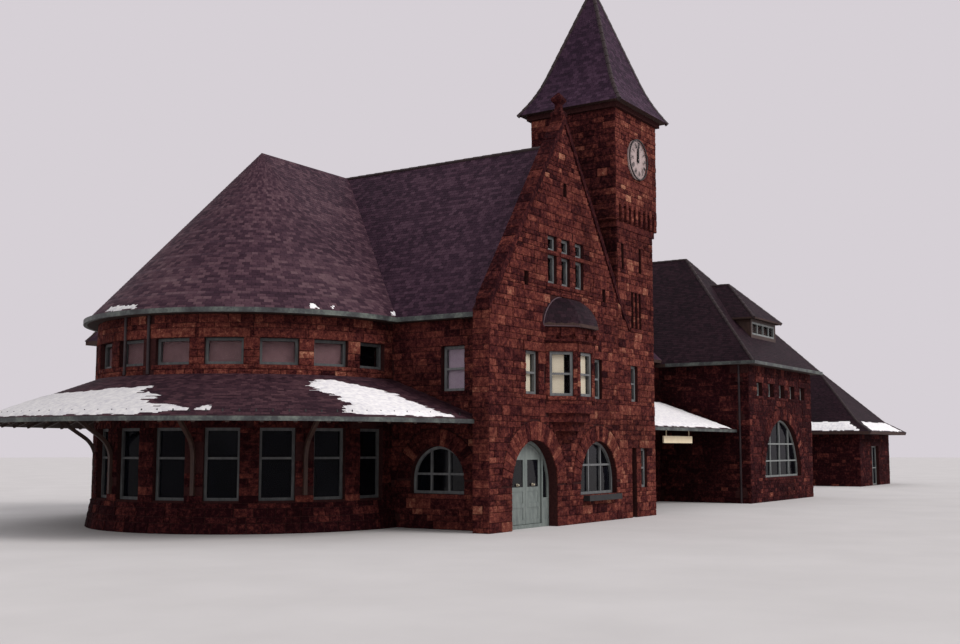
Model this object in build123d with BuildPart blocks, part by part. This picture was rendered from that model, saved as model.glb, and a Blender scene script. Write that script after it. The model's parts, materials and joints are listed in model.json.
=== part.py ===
# Railway station of rough red sandstone: gabled hall with clock tower, round waiting wing,
# low waiting room, hipped pavilion and a detached-looking baggage house, all in one line.
# The model is half the size of the real building. Sizes below are real metres times m.
# Frame: x along the platform front, y away from the platform, z up from the ground.
# Origin: on the ground, under the middle of the gable's front wall.
import os
from math import atan2, cos, degrees, pi, radians, sin, sqrt, tan

from build123d import *

os.makedirs("parts", exist_ok=True)

scale = 1 / 2
m = 1000 * scale  # one real metre, in model millimetres

# walls and floors
front_wall = 0.60 * m
wall = 0.45 * m
floor_slab = 0.12 * m
floor_depth = 0.25 * m
upper_floor_z = 3.75 * m
wall_top = 6.70 * m
fascia = 0.15 * m
eave_z = wall_top + fascia
roof_skin = 0.35 * m  # measured upright
front_y = -front_wall / 2
axis_y = 9.40 * m  # the plan mirrors about this line

# gable and hall
gable_half = 4.82 * m
gable_stage_z = 3.60 * m
gable_apex_z = 14.11 * m
kneeler_z = 7.16 * m
coping_depth = 0.28 * m
coping_out = 0.06 * m
parapet = 0.45 * m  # the gable's thickness where it stands above the roof
hall_half = 4.02 * m
hall_back = 19.10 * m
ridge_z = 13.12 * m
eave_out = 0.30 * m

# entrance in the gable
door_x = -2.075 * m
door_arch_r = 1.43 * m
door_spring = 1.40 * m
arch_ring = 0.62 * m
door_recess = 0.32 * m
rebate = 0.15 * m
door_frame_depth = 0.12 * m
frame_bar = 0.13 * m
sidelight = 0.26 * m
post_bar = 0.08 * m
leaf_thick = 0.06 * m
leaf_gap = 0.012 * m
hinge_gap = 0.3
leaf_sill = floor_slab + leaf_gap  # the leaves swing just over the floor
low_panel = (0.27 * m, 0.66 * m)
mid_panel = (0.80 * m, 1.18 * m)
panel_sunk = 0.015 * m
side_panel_z = 0.95 * m
glass_low = 1.32 * m
glass_high = 2.20 * m
stile = 0.13 * m

# windows
frame_face = 0.09 * m
frame_depth = 0.12 * m
bar_face = 0.07 * m
bar_depth = 0.07 * m
glass_thick = 0.02 * m
reveal = 0.10 * m
arch_reveal = 0.18 * m
side_reveal = 0.18 * m
oriel_reveal = 0.03 * m
arch_win_x = 2.375 * m
arch_win_w = 2.75 * m
arch_win_sill = 0.97 * m
arch_win_head = 2.81 * m
upper_win_w = 0.80 * m
upper_win_x = (-2.245 * m, 2.255 * m)
upper_win_sill = 4.32 * m
upper_win_head = 5.73 * m
triple_x = (-0.885 * m, 0.045 * m, 1.03 * m)
triple_w = 0.60 * m
triple_rows = ((8.10 * m, 9.08 * m), (9.22 * m, 9.72 * m))
slit_w = 0.25 * m

# oriel
oriel_front = 1.20 * m
oriel_depth = 0.78 * m
oriel_wall = 0.25 * m
oriel_floor_z = 4.03 * m
oriel_top_z = 6.60 * m
oriel_peak_z = 7.66 * m
oriel_foot_z = 2.85 * m
oriel_win_w = 0.80 * m
oriel_sill = 4.30 * m
oriel_head = 5.77 * m

# round wing
rot_x = -4.82 * m
rot_r = 5.35 * m
rot_eave = 0.38 * m
rot_last = 267.6
rot_step = 18.2
rot_pairs = 5
plinth_out = 0.22 * m
plinth_z = 0.92 * m
plinth_head_out = 0.04 * m
cut_past = 0.10 * m  # how far a cut starts inside the wall's inner face
low_win_w = 1.10 * m
low_win_sill = 0.98 * m
low_win_head = 3.20 * m
low_win_rail = 2.27 * m
drum_win_w = 1.20 * m
drum_win_sill = 5.14 * m
drum_win_head = 5.97 * m
canopy_clear = 0.05 * m  # from its edge to the back of the gable front
canopy_r = axis_y - front_wall / 2 - canopy_clear
canopy_eave_z = 3.47 * m
canopy_top_z = 4.85 * m
canopy_skin = 0.14 * m
gutter_w = 0.13 * m

# tower
tower_right = 7.10 * m
tower_depth = 3.30 * m
tower_out = 0.24 * m
tower_front_out = 0.10 * m
corbel_z = 10.83 * m
clock_stage_z = 11.75 * m
tower_eave_z = 15.56 * m
cornice = 0.20 * m
spire_out = 0.40 * m
spire_apex_z = 20.93 * m
clock_z = 13.68 * m
dial_r = 0.78 * m
dial_thick = 0.06 * m
hand_gap = 0.014 * m
hand_thick = 0.02 * m
arbor_r = 0.03 * m
hub_r = 0.06 * m

# waiting room and its platform canopy
wait_y = 4.45 * m
pav_left = 17.96 * m
wait_ridge_z = 10.60 * m
wait_end = 1.36 * m  # last window to the pavilion
wait_step = 2.00 * m
clear_end = 2.76 * m
clear_step = 2.20 * m
deck_eave_y = 0.60 * m
deck_eave_z = 3.45 * m

# pavilion
pav_right = 27.27 * m
pav_y = -0.13 * m
pav_top = 6.50 * m
pav_eave_out = 0.41 * m
pav_ridge_z = 12.58 * m
pav_hip = 5.40 * m
pav_loft_z = 4.45 * m
pav_arch_w = 5.40 * m
pav_arch_sill = 1.16 * m
pav_arch_head = 3.98 * m
pav_small_w = 0.75 * m
pav_small_step = 1.60 * m
pav_small = (5.07 * m, 5.71 * m)
dormer_w = 3.60 * m
dormer_y = 0.72 * m
dormer_out = 0.26 * m
dormer_curb = 0.18 * m
dormer_light = 0.76 * m
dormer_rise = 2.08 * m
dormer_head = 0.12 * m
dormer_cheek = 0.16 * m
dormer_room = 0.35 * m
dormer_reveal = 0.02 * m
dormer_fascia = 0.08 * m

# baggage house and the passage to it
bag_left = 44.98 * m
bag_right = 52.58 * m
bag_y = 2.20 * m
bag_top = 3.50 * m
bag_out = 1.00 * m
bag_band = 1.20 * m
bag_band_z = 4.42 * m
bag_ridge_z = 8.10 * m
bag_door_w = 1.80 * m
bag_door_h = 2.70 * m
link_door_h = 2.40 * m
link_half = 1.50 * m
link_top = 2.80 * m
link_ridge = 4.60 * m


def opening(cx, sill, head, width, arched=False, mode=Mode.SUBTRACT):
    """A square-headed or round-headed opening, drawn in the plane of its wall."""
    spring = head - width / 2 if arched else head
    with BuildSketch(mode=Mode.PRIVATE) as shape:
        if arched:
            with Locations((cx, spring)):
                Circle(width / 2)
            with Locations((cx, spring - width / 2)):
                Rectangle(width, width, mode=Mode.SUBTRACT)
        if spring > sill:
            with Locations((cx, (sill + spring) / 2)):
                Rectangle(width, spring - sill)
    add(shape.sketch_local, mode=mode)


def block(x0, x1, y0, y1, mode=Mode.ADD):
    """A rectangle between two corners."""
    with Locations(((x0 + x1) / 2, (y0 + y1) / 2)):
        Rectangle(x1 - x0, y1 - y0, mode=mode)


def window(plane, inward, cx, sill, head, width, arched=False, mullions=0, bars=()):
    """Frame and pane of one window; the plane holds the frame's outer face."""
    inset = frame_face
    with BuildPart() as frame:
        with BuildSketch(plane):
            opening(cx, sill, head, width, arched, mode=Mode.ADD)
            opening(cx, sill + inset, head - inset, width - 2 * inset, arched)
        extrude(amount=inward * frame_depth)
        if mullions or bars:
            with BuildSketch(plane):
                opening(cx, sill + inset, head - inset, width - 2 * inset, arched, mode=Mode.ADD)
                with BuildSketch(mode=Mode.INTERSECT):
                    for k in range(mullions):
                        x = cx - width / 2 + (k + 1) * width / (mullions + 1)
                        block(x - bar_face / 2, x + bar_face / 2, sill, head)
                    for z in bars:
                        block(cx - width / 2, cx + width / 2, z - bar_face / 2, z + bar_face / 2)
            extrude(amount=inward * bar_depth)
    with BuildPart() as pane:
        with BuildSketch(plane.offset(inward * bar_depth)):
            opening(cx, sill + inset, head - inset, width - 2 * inset, arched, mode=Mode.ADD)
        extrude(amount=inward * glass_thick)
    return frame.part, pane.part


def gather(name, pieces):
    """One node that holds several separate pieces."""
    node = Compound(label=name, children=[s for p in pieces for s in p.solids()])
    export_step(node, f"parts/{name}.step")
    return node


def save(name, piece):
    piece.label = name
    export_step(piece, f"parts/{name}.step")


def front(y):
    """Upright plane across the building at y; its normal looks to the platform."""
    return Plane.XZ.offset(-y)


def side(x):
    """Upright plane along the depth of the building at x; its normal looks to +x."""
    return Plane.YZ.offset(x)


def radial(angle, radius):
    """Upright plane that touches the round wing; its normal looks out."""
    a = radians(angle)
    return Plane((rot_x + radius * cos(a), axis_y + radius * sin(a), 0), x_dir=(-sin(a), cos(a), 0),
                 z_dir=(cos(a), sin(a), 0))


def ray(angle):
    """Upright plane through the round wing's axis, for profiles that are turned about it."""
    a = radians(angle)
    return Plane((rot_x, axis_y, 0), x_dir=(cos(a), sin(a), 0), z_dir=(sin(a), -cos(a), 0))


rot_axis = Axis((rot_x, axis_y, 0), (0, 0, 1))
mirror_y = Plane.XZ.offset(-axis_y)

# window lists: centre, sill, head, width, arched, mullions, bars
gable_windows = [(x, upper_win_sill, upper_win_head, upper_win_w, False, 0,
                  ((upper_win_sill + upper_win_head) / 2,)) for x in upper_win_x]
gable_windows += [(x, lo, hi, triple_w, False, 0, ()) for x in triple_x for lo, hi in triple_rows]
slits = [(-2.60 * m, 7.85 * m, 8.31 * m, slit_w), (2.88 * m, 7.85 * m, 8.31 * m, slit_w),
         (0.03 * m, 11.22 * m, 11.70 * m, slit_w)]
arch_window = (arch_win_x, arch_win_sill, arch_win_head, arch_win_w, True, 2, (1.99 * m,))

tower_left = hall_half
tower_x = (tower_left + tower_right) / 2
tower_back = front_y + tower_depth
tower_windows = [(6.07 * m, 1.10 * m, 2.57 * m, 0.52 * m, False, 0, (1.83 * m,)),
                 (5.32 * m, 4.32 * m, 5.66 * m, 0.56 * m, False, 0, (4.99 * m,))]
tower_slits = [(tower_x + k * 0.33 * m, 7.10 * m, 8.48 * m, 0.20 * m) for k in (-1, 0, 1)]
tower_slits += [(4.45 * m, 9.28 * m, 10.25 * m, 0.22 * m), (5.96 * m, 9.28 * m, 10.25 * m, 0.22 * m)]
niche = (5.225 * m, 0.0, 2.58 * m, 0.39 * m)

# GABLE FRONT
frame_y = front_y + door_recess
hinge_y = frame_y + door_frame_depth
ring_r = door_arch_r + arch_ring
arch_win_r = arch_win_w / 2
arch_win_spring = arch_win_head - arch_win_r
wall_seam_x = arch_win_x + arch_win_r + arch_ring + 0.10 * m


def front_panel(x0, x1):
    """Ground stage of the front wall between two seams, with the door arch left open."""
    with BuildPart() as panel:
        with BuildSketch(front(front_y + front_wall)):
            block(x0, x1, 0, gable_stage_z)
            opening(door_x, 0, door_spring + ring_r, 2 * ring_r, True)
            with BuildSketch(mode=Mode.ADD):
                block(x0, x1, 0, door_spring)
                block(door_x - door_arch_r, door_x + door_arch_r, 0, door_spring, mode=Mode.SUBTRACT)
        extrude(amount=front_wall)
        with BuildSketch(front(front_y + front_wall)):
            block(door_x - door_arch_r - rebate, door_x + door_arch_r + rebate, 0, door_spring)
        extrude(amount=front_wall - door_recess, mode=Mode.SUBTRACT)
    return panel.part


left_panel = front_panel(-gable_half, door_x)
right_panel = front_panel(door_x, wall_seam_x)
with BuildPart() as front_wall_left:
    add(left_panel)
save("front_wall_left", front_wall_left.part)

with BuildPart() as front_wall_right:
    add(right_panel)
    with BuildSketch(front(front_y + front_wall)):
        opening(*arch_window[:5], mode=Mode.ADD)
    extrude(amount=front_wall, mode=Mode.SUBTRACT)
save("front_wall_right", front_wall_right.part)

with BuildPart() as entrance_arch:
    with BuildSketch(front(front_y + front_wall)):
        with Locations((door_x, door_spring)):
            Circle(ring_r)
            Circle(door_arch_r, mode=Mode.SUBTRACT)
        block(door_x - ring_r, door_x + ring_r, door_spring - ring_r, door_spring, mode=Mode.SUBTRACT)
    extrude(amount=front_wall)
    with BuildSketch(front(front_y + front_wall)):
        with Locations((door_x, door_spring)):
            Circle(door_arch_r + rebate)
    extrude(amount=front_wall - door_recess, mode=Mode.SUBTRACT)
save("entrance_arch", entrance_arch.part)

def hipped(x0, x1, y0, y1, z0, z1, peak, hip0=0.0, hip1=0.0):
    """Closed roof form over a rectangle, ridge along y; hip0 and hip1 are the runs of its hips."""
    mid = (x0 + x1) / 2
    with BuildPart() as form:
        with BuildSketch(front(y1)):
            with BuildLine():
                Polyline((x0, z0), (x1, z0), (x1, z1), (mid, peak), (x0, z1), close=True)
            make_face()
        extrude(amount=y1 - y0)
        for y, run, s in ((y0, hip0, 1), (y1, hip1, -1)):
            if run:
                slope = Plane((mid, y, z1), x_dir=(1, 0, 0), z_dir=(0, -s * (peak - z1), run))
                split(bisect_by=slope, keep=Keep.BOTTOM)
    return form.part


hall_pitch = (ridge_z - eave_z) / (hall_half + eave_out)
hall_hip = hall_half + eave_out
inner_x = hall_half - wall
inner_z = ridge_z - roof_skin - hall_pitch * inner_x
hall_form = hipped(-hall_half - eave_out, hall_half + eave_out, front_y + parapet, hall_back + eave_out,
                   wall_top, eave_z, ridge_z, 0, hall_hip)
hall_void = hipped(-inner_x, inner_x, front_y, hall_back - wall, wall_top - 1,
                   inner_z, ridge_z - roof_skin, 0, inner_x)
rake = (gable_apex_z - kneeler_z) / gable_half
under = gable_apex_z - coping_depth  # apex of the wall below its coping
oriel_half = oriel_front / 2 + oriel_depth
with BuildPart() as gable_wall:
    with BuildSketch(front(front_y + front_wall)):
        with BuildLine():
            Polyline((-gable_half, gable_stage_z), (tower_left, gable_stage_z),
                     (tower_left, under - rake * tower_left), (0, under),
                     (-gable_half, under - rake * gable_half), close=True)
        make_face()
        for cx, lo, hi, w, *_ in gable_windows + slits:
            opening(cx, lo, hi, w)
        opening(0, oriel_floor_z, oriel_head + 0.20 * m, 2 * (oriel_half - oriel_wall * sqrt(2)))
    extrude(amount=front_wall)
    roof_x = hall_half + eave_out
    with BuildSketch(front(front_y + front_wall)):
        with BuildLine():
            Polyline((-roof_x, wall_top), (-inner_x, wall_top), (-inner_x, inner_z), (0, ridge_z - roof_skin),
                     (inner_x, inner_z), (inner_x, wall_top), (roof_x, wall_top), (roof_x, spire_apex_z),
                     (-roof_x, spire_apex_z), close=True)
        make_face()
    extrude(amount=front_wall - parapet, mode=Mode.SUBTRACT)
save("gable_wall", gable_wall.part)

with BuildPart() as gable_coping:
    with BuildSketch(front(front_y + parapet)):
        with BuildLine():
            Polyline((-gable_half - coping_out, under - rake * gable_half), (-gable_half, under - rake * gable_half),
                     (0, under), (gable_half - 0.45 * m, under - rake * (gable_half - 0.45 * m)),
                     (gable_half + 0.10 * m, kneeler_z - 0.20 * m), (gable_half + 0.10 * m, kneeler_z + 0.12 * m),
                     (gable_half - 0.40 * m, gable_apex_z - rake * (gable_half - 0.40 * m)),
                     (0, gable_apex_z), (-gable_half - coping_out, kneeler_z), close=True)
        make_face()
    extrude(amount=parapet + coping_out)
    with BuildSketch():
        block(tower_left, 2 * gable_half, front_y, tower_back)
    extrude(amount=2 * ridge_z, mode=Mode.SUBTRACT)
save("gable_coping", gable_coping.part)

finial_steps = ((0.22, 0.0), (0.22, 0.12), (0.11, 0.24), (0.10, 0.42), (0.20, 0.56), (0.20, 0.64), (0.03, 0.86))
with BuildPart() as gable_finial:
    mid_y = front_y + (parapet - coping_out) / 2
    for half, h in finial_steps:  # half width and height of a square post with a cap
        with BuildSketch(Plane.XY.offset(gable_apex_z + h * m)):
            with Locations((0, mid_y)):
                Rectangle(2 * half * m, 2 * half * m)
    loft(ruled=True)
    with BuildSketch(Plane.XY.offset(gable_apex_z - 0.20 * m)):
        with Locations((0, mid_y)):
            Rectangle(0.40 * m, 0.40 * m)
    extrude(amount=0.20 * m)
    add(gable_coping.part, mode=Mode.SUBTRACT)
save("gable_finial", gable_finial.part)


# ORIEL
def bay(half_front, depth):
    """Half-octagon plan on the front wall: a flat front and two canted cheeks."""
    Polygon((-half_front - depth, front_y), (-half_front, front_y - depth),
            (half_front, front_y - depth), (half_front + depth, front_y), align=None)


inner_half = oriel_front / 2 - oriel_wall * tan(pi / 8)
inner_depth = oriel_depth - oriel_wall
with BuildPart() as oriel_walls:
    with BuildSketch(Plane.XY.offset(oriel_floor_z)):
        bay(oriel_front / 2, oriel_depth)
    extrude(amount=oriel_top_z - oriel_floor_z)
    with BuildSketch(Plane.XY.offset(oriel_floor_z + 0.12 * m)):
        bay(inner_half, inner_depth)
    extrude(amount=oriel_top_z - oriel_floor_z - 0.24 * m, mode=Mode.SUBTRACT)
    with BuildSketch(front(front_y)):
        opening(0, oriel_sill, oriel_head, oriel_win_w, mode=Mode.ADD)
    extrude(amount=oriel_depth, mode=Mode.SUBTRACT)
    for s in (-1, 1):
        mid = (s * (oriel_front + oriel_depth) / 2, front_y - oriel_depth / 2, 0)
        cheek = Plane(mid, x_dir=(sqrt(0.5), s * sqrt(0.5), 0), z_dir=(s * sqrt(0.5), -sqrt(0.5), 0))
        with BuildSketch(cheek.offset(-oriel_wall - 0.02 * m)):
            opening(0, oriel_sill, oriel_head, oriel_win_w, mode=Mode.ADD)
        extrude(amount=oriel_wall + 0.04 * m, mode=Mode.SUBTRACT)
save("oriel_walls", oriel_walls.part)

corbel_steps = 4
with BuildPart() as oriel_corbel:
    rise = (oriel_floor_z - oriel_foot_z) / corbel_steps
    for k in range(corbel_steps):
        f = sin(radians(24 + 66 * k / (corbel_steps - 1)))
        with BuildSketch(Plane.XY.offset(oriel_foot_z + k * rise)):
            bay(oriel_front / 2 * f, oriel_depth * (f - 0.12) if k < corbel_steps - 1 else oriel_depth)
        extrude(amount=rise)
save("oriel_corbel", oriel_corbel.part)

with BuildPart() as oriel_roof:
    hood = ((0, 0.16), (0.34, 0.08), (0.64, -0.10), (0.86, -0.34), (1.0, -0.66))
    for h, grow in hood:
        with BuildSketch(Plane.XY.offset(oriel_top_z + h * (oriel_peak_z - oriel_top_z))):
            bay(oriel_front / 2 + grow * 0.3 * m, oriel_depth + grow * m)
    loft()
save("oriel_roof", oriel_roof.part)

# HALL
side_y0 = front_y + front_wall
wing_front = axis_y - rot_r
side_windows = [(1.60 * m, 4.40 * m, 5.85 * m, 0.90 * m, False, 0, (5.12 * m,))]
lunette = (2.20 * m, 1.12 * m, 2.64 * m, 2.10 * m, True, 2, (1.75 * m,))
with BuildPart() as hall_left_front:
    with BuildSketch(side(-hall_half)):
        block(side_y0, wing_front + wall, 0, wall_top)
        for cx, lo, hi, w, arched, *_ in side_windows + [lunette]:
            opening(cx, lo, hi, w, arched)
    extrude(amount=wall)
with BuildPart() as hall_left_back:
    add(hall_left_front.part)
    mirror(about=mirror_y, mode=Mode.REPLACE)
    with BuildSketch(side(-hall_half)):
        block(hall_back - wall, 3 * axis_y, 0, wall_top)
    extrude(amount=wall, mode=Mode.SUBTRACT)
gather("hall_left_walls", [hall_left_front.part, hall_left_back.part])

wait_back = 2 * axis_y - wait_y
with BuildPart() as hall_right_walls:
    with BuildSketch(side(hall_half - wall)):
        block(tower_back, wait_y + wall, 0, wall_top)
        block(wait_back - wall, hall_back - wall, 0, wall_top)
        for cx, lo, hi, w, arched, *_ in side_windows:
            opening(2 * axis_y - cx, lo, hi, w, arched)
    extrude(amount=wall)
gather("hall_right_walls", [hall_right_walls.part])

back_windows = [(x, lo, hi, 1.00 * m, False, 0, ((lo + hi) / 2,)) for x in (-2.4 * m, 0, 2.4 * m)
                for lo, hi in ((0.98 * m, 2.80 * m), (4.40 * m, 5.85 * m))]
with BuildPart() as hall_back_wall:
    with BuildSketch(front(hall_back)):
        block(-hall_half, hall_half, 0, wall_top)
        for cx, lo, hi, w, *_ in back_windows:
            opening(cx, lo, hi, w)
    extrude(amount=wall)


with BuildPart() as main_roof:
    add(hall_form)
    add(hall_void, mode=Mode.SUBTRACT)
    with BuildSketch():
        block(tower_left, tower_right, front_y, tower_back)
    extrude(amount=2 * ridge_z, mode=Mode.SUBTRACT)
save("main_roof", main_roof.part)

# ROUND WING
rot_wall_ends = [270.0] + [rot_last - rot_step * (2 * k + 1.5) for k in range(rot_pairs - 1)] + [90.0]
rot_windows = [rot_last - rot_step * k for k in range(2 * rot_pairs)]
rotunda_walls = []
for k in range(rot_pairs):
    high, low = rot_wall_ends[k], rot_wall_ends[k + 1]
    with BuildPart() as arc_wall:
        with BuildSketch(ray(low)):
            with BuildLine():
                Polyline((rot_r - wall, 0), (rot_r + plinth_out, 0), (rot_r + plinth_head_out, plinth_z),
                         (rot_r, plinth_z), (rot_r, wall_top), (rot_r - wall, wall_top), close=True)
            make_face()
        revolve(axis=rot_axis, revolution_arc=high - low)
        if k in (0, rot_pairs - 1):
            # straight stub between the half circle and the hall
            s = -1 if k == 0 else 1
            y_out, y_in = axis_y + s * rot_r, axis_y + s * (rot_r - wall)
            with BuildSketch(side(rot_x)):
                with BuildLine():
                    Polyline((y_in, 0), (y_out + s * plinth_out, 0), (y_out + s * plinth_head_out, plinth_z),
                             (y_out, plinth_z), (y_out, wall_top), (y_in, wall_top), close=True)
                make_face()
            extrude(amount=-hall_half - rot_x)
        for a in rot_windows[2 * k:2 * k + 2]:
            with BuildSketch(radial(a, rot_r - wall - cut_past)):
                opening(0, low_win_sill, low_win_head, low_win_w, mode=Mode.ADD)
                opening(0, drum_win_sill, drum_win_head, drum_win_w, mode=Mode.ADD)
            extrude(amount=wall + 4 * cut_past, mode=Mode.SUBTRACT)
    save(f"rotunda_wall_{k + 1}", arc_wall.part)

rot_eave_r = rot_r + rot_eave
rot_pitch = (ridge_z - eave_z) / rot_eave_r
void_r = rot_r - wall
void_z = ridge_z - roof_skin - rot_pitch * void_r
with BuildPart() as rotunda_roof:
    with BuildSketch(ray(90)):
        with BuildLine():
            Polyline((0, wall_top), (rot_eave_r, wall_top), (rot_eave_r, eave_z), (0, ridge_z), close=True)
        make_face()
    revolve(axis=rot_axis, revolution_arc=180)
    with BuildSketch(side(rot_x)):
        with BuildLine():
            Polyline((axis_y - rot_eave_r, wall_top), (axis_y + rot_eave_r, wall_top),
                     (axis_y + rot_eave_r, eave_z), (axis_y, ridge_z), (axis_y - rot_eave_r, eave_z), close=True)
        make_face()
    extrude(amount=-rot_x)
    with BuildSketch(ray(90)):
        with BuildLine():
            Polyline((0, wall_top - 1), (void_r, wall_top - 1), (void_r, void_z), (0, ridge_z - roof_skin),
                     close=True)
        make_face()
    revolve(axis=rot_axis, revolution_arc=180, mode=Mode.SUBTRACT)
    with BuildSketch(side(rot_x)):
        with BuildLine():
            Polyline((axis_y - void_r, wall_top - 1), (axis_y + void_r, wall_top - 1), (axis_y + void_r, void_z),
                     (axis_y, ridge_z - roof_skin), (axis_y - void_r, void_z), close=True)
        make_face()
    extrude(amount=-rot_x, mode=Mode.SUBTRACT)
    add(hall_form, mode=Mode.SUBTRACT)
save("rotunda_roof", rotunda_roof.part)

# canopy round the wing: a sloping ring, run straight on to the hall
canopy_drop = canopy_skin
canopy_profile = [(rot_r, canopy_top_z), (canopy_r, canopy_eave_z), (canopy_r, canopy_eave_z - canopy_drop),
                  (rot_r, canopy_top_z - canopy_drop)]
with BuildPart() as rotunda_canopy:
    with BuildSketch(ray(90)):
        with BuildLine():
            Polyline(*canopy_profile, close=True)
        make_face()
    revolve(axis=rot_axis, revolution_arc=180)
    for s in (-1, 1):
        with BuildSketch(side(rot_x)):
            with BuildLine():
                Polyline(*[(axis_y + s * r, z) for r, z in canopy_profile], close=True)
            make_face()
        extrude(amount=-hall_half - rot_x)
save("rotunda_canopy", rotunda_canopy.part)

# curved struts under the canopy, each from a foot on a pier
strut = 0.12 * m
strut_foot_z = 1.15 * m
strut_turn_z = 2.20 * m
strut_bend = radians(55)
strut_bend_r = 0.90 * m
soffit_slope = (canopy_top_z - canopy_eave_z) / (canopy_r - rot_r)
struts = []
for k in range(1, rot_pairs + 1):
    x0 = rot_r + strut / 2
    x1, z1 = x0 + strut_bend_r * (1 - cos(strut_bend)), strut_turn_z + strut_bend_r * sin(strut_bend)
    xm, zm = x0 + strut_bend_r * (1 - cos(strut_bend / 2)), strut_turn_z + strut_bend_r * sin(strut_bend / 2)
    soffit_z = canopy_top_z - canopy_skin - soffit_slope * (x1 - rot_r)
    run = (soffit_z - z1) / (cos(strut_bend) + soffit_slope * sin(strut_bend)) + canopy_skin / 3
    plane = ray(rot_last - rot_step * (2 * k - 0.5))
    with BuildPart() as one:
        with BuildLine(plane):
            Line((x0, strut_foot_z), (x0, strut_turn_z))
            ThreePointArc((x0, strut_turn_z), (xm, zm), (x1, z1))
            Line((x1, z1), (x1 + run * sin(strut_bend), z1 + run * cos(strut_bend)))
        with BuildSketch(Plane(plane.from_local_coords((x0, strut_foot_z, 0)), x_dir=plane.x_dir, z_dir=(0, 0, 1))):
            Rectangle(strut, strut)
        sweep()
        add(rotunda_canopy.part, mode=Mode.SUBTRACT)
    struts.append(one.part)
gather("canopy_brackets", struts)

# TOWER
tower_stage_z = gable_stage_z
with BuildPart() as tower_front_wall:
    with BuildSketch(front(front_y + wall)):
        block(wall_seam_x, tower_right, 0, tower_stage_z)
        block(tower_left, tower_right, tower_stage_z, corbel_z)
        for cx, lo, hi, w, *_ in tower_windows + tower_slits:
            opening(cx, lo, hi, w)
    extrude(amount=wall)
    with BuildSketch(front(front_y + 0.25 * m)):
        block(niche[0] - niche[3] / 2, niche[0] + niche[3] / 2, niche[1], niche[2])
    extrude(amount=0.25 * m, mode=Mode.SUBTRACT)
save("tower_front_wall", tower_front_wall.part)

with BuildPart() as tower_left_wall:
    with BuildSketch(side(tower_left)):
        block(front_y + wall, tower_back - wall, 0, corbel_z)
        block(front_y, side_y0, 0, tower_stage_z, mode=Mode.SUBTRACT)
    extrude(amount=wall)

with BuildPart() as tower_right_wall:
    with BuildSketch(side(tower_right - wall)):
        block(front_y + wall, tower_back - wall, 0, corbel_z)
        opening((front_y + tower_back) / 2, 4.32 * m, 5.66 * m, 0.56 * m)
    extrude(amount=wall)
gather("tower_side_walls", [tower_left_wall.part, tower_right_wall.part])

with BuildPart() as tower_back_wall:
    with BuildSketch(front(tower_back)):
        block(tower_left, tower_right, 0, corbel_z)
    extrude(amount=wall)
save("tower_back_wall", tower_back_wall.part)


def shaft(grow, grow_front):
    """Plan of the tower, let out beyond the shaft."""
    block(tower_left - grow, tower_right + grow, front_y - grow_front, tower_back + grow)


with BuildPart() as tower_corbel_table:
    with BuildSketch(Plane.XY.offset(corbel_z)):
        shaft(tower_out / 2, tower_front_out / 2)
    extrude(amount=0.25 * m)
    with BuildSketch(Plane.XY.offset(corbel_z + 0.25 * m)):
        shaft(tower_out, tower_front_out)
    extrude(amount=clock_stage_z - corbel_z - 0.25 * m)
    slot_n = 8
    slot_step = (tower_right - tower_left + 2 * tower_out) / (slot_n + 0.6)
    with BuildSketch(front(front_y + 0.12 * m)):
        with Locations((tower_x, corbel_z + 0.56 * m)):
            with GridLocations(slot_step, 1, slot_n, 1):
                Rectangle(slot_step * 0.5, 0.62 * m)
    extrude(amount=0.12 * m + tower_front_out, mode=Mode.SUBTRACT)
    with BuildSketch(Plane.XY.offset(corbel_z)):
        shaft(-wall, -wall)
    extrude(amount=clock_stage_z - corbel_z, mode=Mode.SUBTRACT)
save("tower_corbel_table", tower_corbel_table.part)

with BuildPart() as clock_stage:
    with BuildSketch(Plane.XY.offset(clock_stage_z)):
        shaft(tower_out, tower_front_out)
    extrude(amount=tower_eave_z - cornice - clock_stage_z)
    with BuildSketch(Plane.XY.offset(tower_eave_z - cornice)):
        shaft(tower_out + 0.14 * m, tower_front_out + 0.14 * m)
    extrude(amount=cornice)
    with BuildSketch(Plane.XY.offset(clock_stage_z)):
        shaft(tower_out - wall, tower_front_out - wall)
    extrude(amount=tower_eave_z - clock_stage_z, mode=Mode.SUBTRACT)
save("clock_stage", clock_stage.part)

stage_x = (tower_right - tower_left) / 2 + tower_out
stage_y = (tower_depth + tower_out + tower_front_out) / 2
stage_mid_y = front_y - tower_front_out + stage_y
spire_steps = ((0, 0), (0.16, 0.24), (0.32, 0.49), (0.46, 0.74), (0.58, 0.98), (0.70, 1.24), (0.88, 1.72))
with BuildPart() as spire:
    for inset, h in spire_steps:  # the curved foot
        with BuildSketch(Plane.XY.offset(tower_eave_z + h * m)):
            with Locations((tower_x, stage_mid_y)):
                Rectangle(2 * (stage_x + spire_out - inset * m), 2 * (stage_y + spire_out - inset * m))
    with BuildSketch(Plane.XY.offset(spire_apex_z)):
        with Locations((tower_x, stage_mid_y)):
            Rectangle(0.08 * m, 0.08 * m)
    loft(ruled=True)
save("spire", spire.part)

# clock on the tower's platform face
dial_y = front_y - tower_front_out
with BuildPart() as clock_dial:
    with BuildSketch(front(dial_y)):
        with Locations((tower_x, clock_z)):
            Circle(dial_r)
    extrude(amount=dial_thick)
    with BuildSketch(front(dial_y - dial_thick)):
        with Locations((tower_x, clock_z)):
            Circle(arbor_r)
    extrude(amount=2 * hand_gap + 2 * hand_thick)
save("clock_dial", clock_dial.part)


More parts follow.
